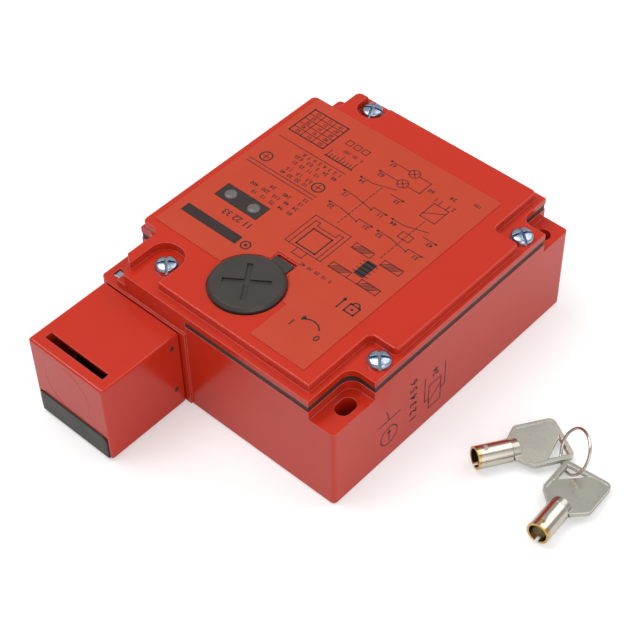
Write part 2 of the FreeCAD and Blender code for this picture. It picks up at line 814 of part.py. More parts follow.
def make_cover():
    """Die-cast lid: flange, raised field, screw pockets, lock seat and display."""
    body = new_body("cover")
    plan = sketch_on(body, offset=GASKET_TOP)
    outline(plan, cross_outline(nose=True))
    flange = pad(body, plan, "flange_thickness")
    soften(body, flange, upright_edges(flange.Shape, step_corners()), "step_corner_radius")
    points = plateau_outline()
    field = sketch_on(body, offset=f"{FLANGE_TOP} - 0.5")
    outline(field, points)
    raised = pad(body, field, "plateau_height + 0.5")
    rounded = [points[index] for index in (1, 2, 3, 4, 5, 6, 7, 8, 9, 10)]
    soften(
        body,
        raised,
        upright_edges(raised.Shape, rounded, FLANGE_TOP, COVER_TOP),
        "plateau_corner_radius",
    )
    soften(body, body.Tip, level_edges(body.Shape, COVER_TOP), "plateau_edge_radius")

    front_pocket = sketch_on(body, offset=COVER_TOP)
    left, right = f"{LEFT} + pocket_front_left", f"{LEFT} + pocket_front_right"
    ends = [(left, f"{FRONT} + pocket_front_end"), (right, f"{FRONT} + pocket_front_end")]
    outline(front_pocket, rectangle(left, f"{FRONT} - 1", *ends[1]))
    pocket(body, front_pocket, "plateau_height")
    round_end = "(pocket_front_right - pocket_front_left) / 2 - 0.6"
    soften(body, body.Tip, upright_edges(body.Shape, ends, FLANGE_TOP, COVER_TOP), round_end)

    back_pocket = sketch_on(body, offset=COVER_TOP)
    left, right = f"{LEFT} + pocket_back_left", f"{LEFT} + pocket_back_right"
    ends = [(left, f"{BACK} - pocket_back_start"), (right, f"{BACK} - pocket_back_start")]
    outline(back_pocket, rectangle(*ends[0], right, f"{BACK} + 1"))
    pocket(body, back_pocket, "plateau_height")
    round_end = "(pocket_back_right - pocket_back_left) / 2 - 0.6"
    soften(body, body.Tip, upright_edges(body.Shape, ends, FLANGE_TOP, COVER_TOP), round_end)

    skirt = sketch_on(body, offset=GASKET_TOP)
    edge = skirt_outline()
    edge[0] = (edge[0][0], FRONT)
    edge[1] = (edge[1][0], FRONT)
    outline(skirt, edge)
    pad(body, skirt, "gasket_thickness + skirt_drop", towards=-1)

    hollow = sketch_on(body, offset=GASKET_TOP)
    outline(
        hollow,
        rectangle(
            f"{LEFT} + hollow_left",
            f"{FRONT} + hollow_front",
            f"{RIGHT} - plateau_side_margin - hollow_margin",
            f"{BACK} - back_notch_start - hollow_margin",
        ),
    )
    pocket(body, hollow, f"{CEILING} - {GASKET_TOP}", towards=1)
    posts = sketch_on(body, offset=CEILING)
    for side in ("-", "+"):
        circle(posts, f"{WINDOW_X} {side} (window_width / 2 + 1)", WINDOW_Y, "post_radius")
    pad(body, posts, "led_height", towards=-1)

    seat = sketch_on(body, offset=COVER_TOP)
    circle(seat, LOCK_X, LOCK_Y, "cap_radius + cap_seat_play")
    pocket(body, seat, "cap_seat_depth")
    tab = sketch_on(body, offset=COVER_TOP)
    tab_low, tab_high = f"{TAB_X} - cap_tab_width / 2 - step_play", f"{TAB_X} + cap_tab_width / 2 + step_play"
    outline(
        tab,
        rectangle(
            tab_low, f"{LOCK_Y} + cap_radius - 2", tab_high, f"{LOCK_Y} + tab_recess_reach"
        ),
    )
    pocket(body, tab, "cap_seat_depth + 0.6")
    lock_seat = sketch_on(body, offset=COVER_TOP)
    circle(lock_seat, LOCK_X, LOCK_Y, "lock_flange_radius + fit_play")
    pocket(body, lock_seat, "cap_seat_depth + lock_flange_thickness")
    lock_bore = sketch_on(body, offset=COVER_TOP)
    circle(lock_bore, LOCK_X, LOCK_Y, "lock_barrel_radius + fit_play")
    pocket(body, lock_bore, f"{COVER_TOP} - {GASKET_TOP} + 1")

    window = sketch_on(body, offset=COVER_TOP)
    outline(window, window_outline("fit_play"))
    pocket(body, window, "window_thickness")
    light_holes = sketch_on(body, offset=COVER_TOP)
    for side in ("-", "+"):
        circle(light_holes, f"{WINDOW_X} {side} lens_spacing / 2", WINDOW_Y, "lens_radius + fit_play")
    pocket(body, light_holes, "cover_skin + 0.5")

    holes = sketch_on(body, offset=FLANGE_TOP)
    for x, y in SCREW_PLACES:
        circle(holes, x, y, "screw_shank_radius + screw_play")
    pocket(body, holes, "flange_thickness + 0.5")
    return body


def window_outline(play="0"):
    """Return the plan of the display window's plate."""
    return rectangle(
        f"{WINDOW_X} - window_width / 2 - {play}",
        f"{WINDOW_Y} - window_depth / 2 - {play}",
        f"{WINDOW_X} + window_width / 2 + {play}",
        f"{WINDOW_Y} + window_depth / 2 + {play}",
    )


def make_screw(name, head, height, shank, length, cross):
    """Raised-head screw about its own axis, with a cross recess."""
    body = new_body(name)
    section = sketch_on(body, "XZ_Plane")
    outline(
        section,
        [
            ("0", f"0 - {length}"),
            (f"{shank} - 0.4", f"0 - {length}"),
            (shank, f"0 - {length} + 0.5"),
            (shank, "0"),
            (head, "0"),
            (head, f"{height} * 0.45"),
            (f"{head} * 0.93", f"{height} * 0.72"),
            (f"{head} * 0.72", f"{height} * 0.93"),
            (f"{head} * 0.4", height),
            ("0", height),
        ],
    )
    revolve(body, section)
    recess = sketch_on(body, offset=height)
    arm, web = f"{head} * {cross}", f"{head} * 0.13"
    outline(
        recess,
        [
            (web, f"0 - {arm}"), (web, f"0 - {web}"), (arm, f"0 - {web}"), (arm, web),
            (web, web), (web, arm), (f"0 - {web}", arm), (f"0 - {web}", web),
            (f"0 - {arm}", web), (f"0 - {arm}", f"0 - {web}"),
            (f"0 - {web}", f"0 - {web}"), (f"0 - {web}", f"0 - {arm}"),
        ],
    )
    pocket(body, recess, f"{height} * 0.55")
    return body


def make_trim():
    """Label film, display window, lenses, light board and the lug's plug."""
    film = new_body("label_film")
    plan = sketch_on(film, offset=COVER_TOP)
    left, right = f"{LEFT} + film_left_margin", f"{RIGHT} - film_right_margin"
    back, step = f"{BACK} - film_back_margin", f"{FRONT} + film_step"
    notch = f"{LOCK_X} + film_notch_right"
    outline(
        plan,
        [
            (notch, f"{FRONT} + film_front"), (right, f"{FRONT} + film_front"),
            (right, back), (left, back), (left, step), (notch, step),
        ],
    )
    pad(film, plan, "film_thickness")
    hole = sketch_on(film, offset=f"{COVER_TOP} + film_thickness")
    outline(hole, window_outline("0.2"))
    pocket(film, hole, "film_thickness")
    seat = sketch_on(film, offset=f"{COVER_TOP} + film_thickness")
    circle(seat, LOCK_X, LOCK_Y, "cap_radius + cap_seat_play + 0.5")
    pocket(film, seat, "film_thickness")
    tab = sketch_on(film, offset=f"{COVER_TOP} + film_thickness")
    reach = f"{LOCK_Y} + tab_recess_reach"
    half = "cap_tab_width / 2"
    outline(
        tab,
        rectangle(
            f"{TAB_X} - {half} - film_tab_play",
            f"{LOCK_Y} + cap_radius - 2",
            f"{TAB_X} + {half} + film_tab_play",
            f"{reach} + 0.5",
        ),
    )
    pocket(film, tab, "film_thickness")

    window = new_body("display_window")
    plate = sketch_on(window, offset=f"{COVER_TOP} - window_thickness")
    outline(plate, window_outline())
    pad(window, plate, "window_thickness + film_thickness")
    holes = sketch_on(window, offset=f"{COVER_TOP} + film_thickness")
    for side in ("-", "+"):
        circle(holes, f"{WINDOW_X} {side} lens_spacing / 2", WINDOW_Y, "lens_radius + seat_play")
    pocket(window, holes, "window_thickness + film_thickness")

    lens = new_body("lens_master")
    section = sketch_on(lens, "XZ_Plane")
    length = "cover_skin + film_thickness"
    outline(
        section,
        [
            ("0", "0"), ("lens_radius", "0"), ("lens_radius", length),
            ("lens_radius * 0.85", f"{length} + lens_proud * 0.6"),
            ("lens_radius * 0.5", f"{length} + lens_proud"), ("0", f"{length} + lens_proud"),
        ],
    )
    revolve(lens, section)
    spots = [(f"{WINDOW_X} {side} lens_spacing / 2", WINDOW_Y, CEILING) for side in ("-", "+")]
    lenses = copies("display_lenses", lens, spots)

    board = block(
        "display_board",
        (
            f"{WINDOW_X} - window_width / 2 - 2",
            f"{WINDOW_Y} - window_depth / 2 - 2",
            f"{CEILING} - led_height - board_thickness",
        ),
        (
            f"{WINDOW_X} + window_width / 2 + 2",
            f"{WINDOW_Y} + window_depth / 2 + 2",
            f"{CEILING} - led_height",
        ),
    )
    led = rod("led_master", ("0", "0", "0"), "lens_radius * 0.8", "led_height - fit_play")
    led_spots = [(x, y, f"{CEILING} - led_height") for x, y, z in spots]
    leds = copies("display_leds", led, led_spots)

    plug = new_body("corner_plug")
    top = sketch_on(plug, offset="lug_height - 0.4")
    outline(top, corner_plug_outline())
    prism = pad(plug, top, "corner_plug_length - 0.4", towards=-1)
    soften(plug, prism, level_edges(prism.Shape, "lug_height - 0.4"), "0.3", "Chamfer")
    return [film, window, lenses, board, leds, plug]


# ---------------------------------------------------------------- turret head
PLATE_BACK = f"({HEAD_BACK} - step_play)"
PLATE_FRONT = f"({PLATE_BACK} - back_plate_thickness)"
BUSH_FRONT = f"({PLATE_FRONT} - step_play)"
HEAD_TOP = "(head_axis_height + head_height / 2)"
HEAD_BOTTOM = "(head_axis_height - head_height / 2)"


def head_pins_spots():
    """Return the depth and the two heights of the head's cross pins."""
    depth = f"{HEAD_BACK} - head_pin_setback"
    heights = ("head_axis_height + upper_pin_rise", "head_axis_height - lower_pin_drop")
    return [(depth, height) for height in heights]


def make_head_casing():
    """Square die-cast turret with two tongue slots and a recess for the plug."""
    body = new_body("head_casing")
    left, right = f"{HEAD_X} - head_width / 2", f"{HEAD_X} + head_width / 2"
    plan = sketch_on(body, "XZ_Plane", f"0 - {HEAD_BACK}")
    outline(plan, rectangle(left, HEAD_BOTTOM, right, HEAD_TOP))
    block_out = pad(body, plan, "head_length")
    edges = [
        f"Edge{index}"
        for index, edge in enumerate(block_out.Shape.Edges, start=1)
        if edge.BoundBox.YMin < number(HEAD_BACK) - 1
    ]
    soften(body, block_out, edges, "head_edge_radius")
    cavity = sketch_on(body, "XZ_Plane", f"0 - {HEAD_BACK}")
    outline(
        cavity,
        rectangle(
            f"{left} + head_wall",
            f"{HEAD_BOTTOM} + head_wall",
            f"{right} - head_wall",
            f"{HEAD_TOP} - head_wall",
        ),
    )
    pocket(body, cavity, "head_length - head_wall", towards=1)
    # each slot is narrow at the skin and wider below a thin lip
    for lip, spread in (("0", "0"), ("slot_lip", "slot_relief")):
        half_thick = f"(slot_thickness / 2 + {spread})"
        depth = f"head_wall + 0.5 - {lip}"
        wide = (f"{HEAD_X} - slot_width / 2", f"{HEAD_X} + slot_width / 2")
        top_slot = sketch_on(body, offset=f"{HEAD_TOP} - {lip}")
        middle = f"{CAM_Y} - slot_reach"
        outline(
            top_slot, rectangle(wide[0], f"{middle} - {half_thick}", wide[1], f"{middle} + {half_thick}")
        )
        pocket(body, top_slot, depth)
        end_slot = sketch_on(body, "XZ_Plane", f"0 - ({HEAD_FRONT} + {lip})")
        middle = "head_axis_height - slot_reach"
        outline(
            end_slot, rectangle(wide[0], f"{middle} - {half_thick}", wide[1], f"{middle} + {half_thick}")
        )
        pocket(body, end_slot, depth)
    seat = sketch_on(body, "XZ_Plane", f"0 - {HEAD_FRONT}")
    outline(
        seat,
        rectangle(
            f"{HEAD_X} - plug_width / 2 - fit_play",
            f"{HEAD_BOTTOM} - 1",
            f"{HEAD_X} + plug_width / 2 + fit_play",
            f"{HEAD_BOTTOM} + plug_height + fit_play",
        ),
    )
    pocket(body, seat, "plug_thickness - plug_proud")
    axle_bore = sketch_on(body, "YZ_Plane", HEAD_X)
    circle(axle_bore, CAM_Y, "head_axis_height", "cam_axle_radius + press_play")
    pocket(body, axle_bore, "head_width - 2.4", towards=0)
    pins = sketch_on(body, "YZ_Plane", right)
    for depth, height in head_pins_spots():
        circle(pins, depth, height, "head_pin_radius + press_play")
    pocket(body, pins, "head_pin_depth + fit_play")
    return body


def make_head_plate():
    """Bearing plate that closes the back of the head and turns on the bush."""
    body = new_body("head_back_plate")
    half_wide = "(head_width / 2 - head_wall - back_plate_play)"
    half_high = "(head_height / 2 - head_wall - back_plate_play)"
    plan = sketch_on(body, "XZ_Plane", f"0 - {PLATE_BACK}")
    outline(
        plan,
        rectangle(
            f"{HEAD_X} - {half_wide}",
            f"head_axis_height - {half_high}",
            f"{HEAD_X} + {half_wide}",
            f"head_axis_height + {half_high}",
        ),
    )
    pad(body, plan, "back_plate_thickness")
    bore = sketch_on(body, "XZ_Plane", f"0 - {PLATE_FRONT}")
    circle(bore, HEAD_X, "head_axis_height", "bush_radius + bush_play")
    pocket(body, bore, "back_plate_thickness + 1")
    pins = sketch_on(body, "YZ_Plane", f"{HEAD_X} + head_width / 2")
    for depth, height in head_pins_spots():
        circle(pins, depth, height, "head_pin_radius + press_play")
    pocket(body, pins, "head_pin_depth + fit_play")
    return body


def make_head_fittings():
    """Bush, ring nut, seal, cross pins and blanking plug of the turret."""
    nut_front = f"{FRONT} + wall_thickness"
    nut_end = f"{nut_front} + bush_nut_thickness"
    bush_length = f"{nut_end} + 1 - {BUSH_FRONT}"
    axis_at = lambda y: (HEAD_X, y, "head_axis_height")
    shank = rod("bush_shank", axis_at(BUSH_FRONT), "bush_radius", bush_length, ALONG_Y)
    flange = rod(
        "bush_flange",
        axis_at(f"{BUSH_FRONT} - bush_flange_thickness"),
        "bush_flange_radius",
        "bush_flange_thickness",
        ALONG_Y,
    )
    bore = rod(
        "bush_bore",
        axis_at(f"{BUSH_FRONT} - bush_flange_thickness - 1"),
        "rod_radius + running_play",
        f"{bush_length} + bush_flange_thickness + 2",
        ALONG_Y,
    )
    bush = carve("head_bush", join("bush_solid", shank, flange), bore)

    ring = rod("nut_ring", axis_at(nut_front), "bush_nut_radius", "bush_nut_thickness", ALONG_Y)
    nut_bore = rod(
        "nut_bore", axis_at(f"{nut_front} - 1"), "bush_radius + seat_play", "bush_nut_thickness + 2", ALONG_Y
    )
    slot = block(
        "nut_slot",
        (f"{HEAD_X} - nut_slot_width / 2", f"{nut_end} - nut_slot_depth", "head_axis_height - 10"),
        (f"{HEAD_X} + nut_slot_width / 2", f"{nut_end} + 1", "head_axis_height + 10"),
    )
    nut = carve("head_bush_nut", ring, nut_bore, slot)

    seal_length = f"{FRONT} - pad_thickness - fit_play - {PLATE_BACK}"
    outer = rod("seal_outer", axis_at(PLATE_BACK), "seal_radius", seal_length, ALONG_Y)
    inner = rod("seal_inner", axis_at(f"{PLATE_BACK} - 1"), "seal_radius - 2", "4", ALONG_Y)
    seal = carve("head_seal", outer, inner)

    pin = rod("pin_master", ("0", "0", "0"), "head_pin_radius", "head_pin_depth", ALONG_X)
    face = f"{HEAD_X} + head_width / 2 - head_pin_depth"
    pins = copies("head_pins", pin, [(face, depth, height) for depth, height in head_pins_spots()])

    axle = rod(
        "cam_axle",
        (f"{HEAD_X} - head_width / 2 + 1.3", CAM_Y, "head_axis_height"),
        "cam_axle_radius",
        "head_width - 2.6",
        ALONG_X,
    )

    plug = new_body("head_plug")
    plan = sketch_on(plug, "XZ_Plane", f"0 - {HEAD_FRONT} - plug_thickness + plug_proud")
    low, high = f"{HEAD_BOTTOM} + fit_play", f"{HEAD_BOTTOM} + plug_height"
    plug_left, plug_right = f"{HEAD_X} - plug_width / 2", f"{HEAD_X} + plug_width / 2"
    outline(plan, rectangle(plug_left, low, plug_right, high))
    plate = pad(plug, plan, "plug_thickness")
    corners = []
    for index, edge in enumerate(plate.Shape.Edges, start=1):
        if edge.BoundBox.YLength > 0.1 and edge.BoundBox.ZMin > number(high) - 0.01:
            corners.append(f"Edge{index}")
    soften(plug, plate, corners, "plug_corner_radius")
    front_face = number(HEAD_FRONT) - number("plug_proud")
    rim = [
        f"Edge{index}"
        for index, edge in enumerate(plug.Shape.Edges, start=1)
        if edge.BoundBox.YMax < front_face + 0.001 + 1e-4
    ]
    soften(plug, plug.Tip, rim, "0.3", "Chamfer")
    spigot = sketch_on(plug, "XZ_Plane", f"0 - {HEAD_FRONT} - plug_thickness + plug_proud")
    outline(
        spigot,
        rectangle(
            f"{HEAD_X} - slot_width / 2 + 0.2",
            "head_axis_height - slot_reach - slot_thickness / 2 + 0.2",
            f"{HEAD_X} + slot_width / 2 - 0.2",
            "head_axis_height - slot_reach + slot_thickness / 2 - 0.2",
        ),
    )
    pad(plug, spigot, "head_wall - 1.2", towards=-1)
    return [bush, nut, seal, pins, axle, plug]


def make_cam():
    """Notched tongue wheel with a spiral middle that drives the push rod evenly."""
    low, high = number("cam_low_radius"), number("cam_high_radius")
    steps = 9
    spiral = []
    for step in range(steps + 1):
        share = step / steps
        angle = -math.pi / 2 * share
        radius = low + (high - low) * share
        spiral.append(Vector(0, radius * math.cos(angle), radius * math.sin(angle)))
    curve = Part.BSplineCurve()
    curve.interpolate(spiral)
    along = lambda degrees, radius: Vector(
        0, radius * math.cos(math.radians(degrees)), radius * math.sin(math.radians(degrees))
    )
    heel_end = -90 - number("cam_heel_angle")
    heel = Part.Arc(along(-90, high), along((heel_end - 90) / 2, high), along(heel_end, high))
    edges = [
        Part.LineSegment(Vector(), spiral[0]).toShape(),
        curve.toShape(),
        heel.toShape(),
        Part.LineSegment(along(heel_end, high), Vector()).toShape(),
    ]
    width = number("cam_width")
    lobe = Part.Face(Part.Wire(edges)).extrude(Vector(width, 0, 0))
    lobe.translate(Vector(-width / 2, 0, 0))
    turn = lambda radius, length, start: Part.makeCylinder(
        radius, length, Vector(start, 0, 0), Vector(1, 0, 0)
    )
    span, disc = number("cam_span"), number("cam_disc_thickness")
    shape = lobe.fuse(turn(low, width, -width / 2))
    shape = shape.fuse(turn(number("cam_hub_radius"), span, -span / 2))
    depth, wide = number("cam_notch_depth"), number("cam_notch_width")
    outer = number("cam_disc_radius")
    for start in (-span / 2, span / 2 - disc):
        wheel = turn(outer, disc, start)
        for angle in (number("first_notch_angle"), number("second_notch_angle")):
            notch = Part.makeBox(disc + 2, 2 * depth, wide, Vector(start - 1, outer - depth, -wide / 2))
            notch.rotate(Vector(), Vector(1, 0, 0), angle)
            wheel = wheel.cut(notch)
        shape = shape.fuse(wheel)
    shape = shape.cut(turn(number("cam_axle_radius") + number("running_play"), span + 2, -span / 2 - 1))
    item = document.addObject("Part::Feature", "actuator_cam")
    item.Shape = shape.removeSplitter()
    place(item, HEAD_X, CAM_Y, "head_axis_height")
    return item


def make_push_rod():
    """Turned push rod: rounded tip on the cam, a locking collar and a neck."""
    body = new_body("push_rod")
    section = sketch_on(body, offset="head_axis_height", shift=(HEAD_X, "0"))
    tip = f"({CAM_Y} + cam_low_radius + rod_tip_gap)"
    collar_end = f"{COLLAR_Y} + rod_collar_thickness"
    outline(
        section,
        [
            ("0", tip),
            ("rod_tip_radius * 0.6", f"{tip} + rod_tip_radius * 0.12"),
            ("rod_tip_radius", f"{tip} + rod_tip_radius * 0.45"),
            ("rod_radius", f"{tip} + rod_tip_length"),
            ("rod_radius", COLLAR_Y),
            ("rod_collar_radius", COLLAR_Y),
            ("rod_collar_radius", collar_end),
            ("rod_neck_radius", collar_end),
            ("rod_neck_radius", f"{CONTACT_Y} + 1"),
            ("0", f"{CONTACT_Y} + 1"),
        ],
    )
    revolve(body, section)
    return body


# ---------------------------------------------------------------- contact block
def window_start(name):
    """Return where one of the carrier's windows begins."""
    return f"({CONTACT_Y} + 1 + {name})"


FIRST_WINDOW = window_start("window_first")
SECOND_WINDOW = window_start("window_second")
THIRD_WINDOW = window_start("window_third")
CARRIER_END = f"({CONTACT_Y} + 1 + carrier_length)"
CHANNEL_END = f"({CONTACT_Y} + contact_length - channel_end_wall)"


def bridge_starts():
    """Return where each contact bridge begins along the carrier."""
    far_end = "window_length - bridge_thickness"
    return [f"{FIRST_WINDOW} + {far_end}", f"{SECOND_WINDOW} + {far_end}", THIRD_WINDOW]


def contact_rows():
    """Return the pad start, strip low and strip high of each row of fixed contacts."""
    rows = []
    for window in (FIRST_WINDOW, SECOND_WINDOW):
        pad_start = f"({window} + window_length + contact_gap)"
        rows.append((pad_start, f"({pad_start} - strip_back)", f"({pad_start} + contact_thickness)"))
    pad_start = f"({THIRD_WINDOW} - step_play - contact_thickness)"
    rows.append((pad_start, pad_start, f"({pad_start} + strip_front)"))
    return rows


def terminal_places():
    """Return the plan of the six contact terminals."""
    places = []
    for index, (pad_start, low, high) in enumerate(contact_rows()):
        y = f"{low} + terminal_inset" if index < 2 else f"{high} - terminal_inset"
        for side in ("-", "+"):
            places.append((f"{HEAD_X} {side} terminal_offset", y))
    return places


def make_contact_base():
    """Moulded tray: a channel for the carrier between two terminal shelves."""
    body = new_body("contact_base")
    half, channel = "contact_width / 2", "contact_channel / 2"
    end = f"{CONTACT_Y} + contact_length"
    plan = sketch_on(body, offset="base_thickness")
    outline(plan, rectangle(f"{HEAD_X} - {half}", CONTACT_Y, f"{HEAD_X} + {half}", end))
    pad(body, plan, "contact_shelf_height - base_thickness")
    trough = sketch_on(body, offset="contact_shelf_height")
    outline(
        trough,
        rectangle(f"{HEAD_X} - {channel}", f"{CONTACT_Y} - 1", f"{HEAD_X} + {channel}", CHANNEL_END),
    )
    pocket(body, trough, "contact_shelf_height - base_thickness - contact_base_thickness")
    rail = sketch_on(body, offset="base_thickness + contact_base_thickness - 0.2")
    outline(
        rail,
        rectangle(f"{HEAD_X} - 1.5", f"{CONTACT_Y} + 0.5", f"{HEAD_X} + 1.5", f"{CHANNEL_END} - 0.5"),
    )
    rail_height = (
        "head_axis_height - carrier_height / 2 - carrier_play"
        " - base_thickness - contact_base_thickness + 0.2"
    )
    pad(body, rail, rail_height)
    ear = sketch_on(body, offset="base_thickness")
    outline(
        ear, rectangle(f"{HEAD_X} - {half}", f"{end} - 1", f"{HEAD_X} + {half}", f"{end} + ear_length")
    )
    pad(body, ear, "ear_thickness")
    holes = sketch_on(body, offset="base_thickness + ear_thickness")
    for x, y in base_screw_places()[:2]:
        circle(holes, x, y, "small_screw_radius + fit_play")
    pocket(body, holes, "ear_thickness + 1")
    threads = sketch_on(body, offset="contact_shelf_height")
    for x, y in terminal_places():
        circle(threads, x, y, "terminal_shank_radius + seat_play")
    pocket(body, threads, "7")
    return body


def make_contacts():
    """Fixed contact strips, their screws, the carrier, its bridges and springs."""
    strips = []
    for index, (pad_start, low, high) in enumerate(contact_rows()):
        for side, sign in (("left", -1), ("right", 1)):
            near, far = "contact_channel / 2 - 0.15", "contact_width / 2 - 1"
            inner = "carrier_width / 2 + 0.7"
            if sign < 0:
                tab_x = (f"{HEAD_X} - ({near})", f"{HEAD_X} - ({inner})")
                strip_x = (f"{HEAD_X} - ({far})", f"{HEAD_X} - ({inner})")
            else:
                tab_x = (f"{HEAD_X} + {inner}", f"{HEAD_X} + {near}")
                strip_x = (f"{HEAD_X} + {inner}", f"{HEAD_X} + {far}")
            name = f"strip_{side}_{index}"
            tab = block(
                name + "_tab",
                (tab_x[0], pad_start, "head_axis_height - bridge_height / 2"),
                (tab_x[1], f"{pad_start} + contact_thickness", "contact_shelf_height + contact_thickness"),
            )
            flat = block(
                name + "_flat",
                (strip_x[0], low, "contact_shelf_height"),
                (strip_x[1], high, "contact_shelf_height + contact_thickness"),
            )
            x, y = terminal_places()[2 * index + (sign > 0)]
            mouth = (x, y, "contact_shelf_height - 1")
            hole = rod(name + "_hole", mouth, "terminal_shank_radius + fit_play", "4")
            strips.append(carve(name, join(name + "_solid", tab, flat), hole))
    fixed = document.addObject("Part::Compound", "fixed_contacts")
    fixed.Links = strips

    screw = make_screw(
        "terminal_screw_master",
        "terminal_head_radius",
        "terminal_head_height",
        "terminal_shank_radius",
        "6",
        "0.62",
    )
    seat = "contact_shelf_height + contact_thickness"
    screws = copies("contact_terminal_screws", screw, [(x, y, seat) for x, y in terminal_places()])

    carrier = new_body("contact_carrier")
    plan = sketch_on(carrier, offset="head_axis_height - carrier_height / 2")
    half = "carrier_width / 2"
    outline(plan, rectangle(f"{HEAD_X} - {half}", f"{CONTACT_Y} + 1", f"{HEAD_X} + {half}", CARRIER_END))
    bar = pad(carrier, plan, "carrier_height")
    ends = [(f"{HEAD_X} - {half}", CARRIER_END), (f"{HEAD_X} + {half}", CARRIER_END)]
    soften(carrier, bar, upright_edges(bar.Shape, ends), "1")
    windows = sketch_on(carrier, "YZ_Plane", HEAD_X)
    high = "bridge_height / 2 + fit_play"
    for start in (FIRST_WINDOW, SECOND_WINDOW, THIRD_WINDOW):
        outline(
            windows,
            rectangle(
                start,
                f"head_axis_height - ({high})",
                f"{start} + window_length",
                f"head_axis_height + {high}",
            ),
        )
    pocket(carrier, windows, "carrier_width + 2", towards=0)

    bridge = block(
        "bridge_master",
        ("0 - bridge_length / 2", "0", "0 - bridge_height / 2"),
        ("bridge_length / 2", "bridge_thickness", "bridge_height / 2"),
    )
    spots = [(HEAD_X, start, "head_axis_height") for start in bridge_starts()]
    bridges = copies("contact_bridges", bridge, spots)
    spring = coil(
        "bridge_spring_master", "1.6", "window_length - bridge_thickness", 3, ("0", "0", "0"), ALONG_Y
    )
    starts = [FIRST_WINDOW, SECOND_WINDOW, f"{THIRD_WINDOW} + bridge_thickness"]
    springs = copies("bridge_springs", spring, [(HEAD_X, start, "head_axis_height") for start in starts])
    back_spring = coil(
        "return_spring",
        "return_spring_radius",
        f"{CHANNEL_END} - {CARRIER_END}",
        4,
        (HEAD_X, CARRIER_END, "head_axis_height"),
        ALONG_Y,
    )
    return [fixed, screws, carrier, bridges, springs, back_spring]


# ---------------------------------------------------------------- solenoid lock
ARMATURE_START = "(solenoid_left + yoke_thickness + core_length + bolt_travel + step_play)"
BOLT_TAIL = f"({HEAD_X} + bolt_tail)"


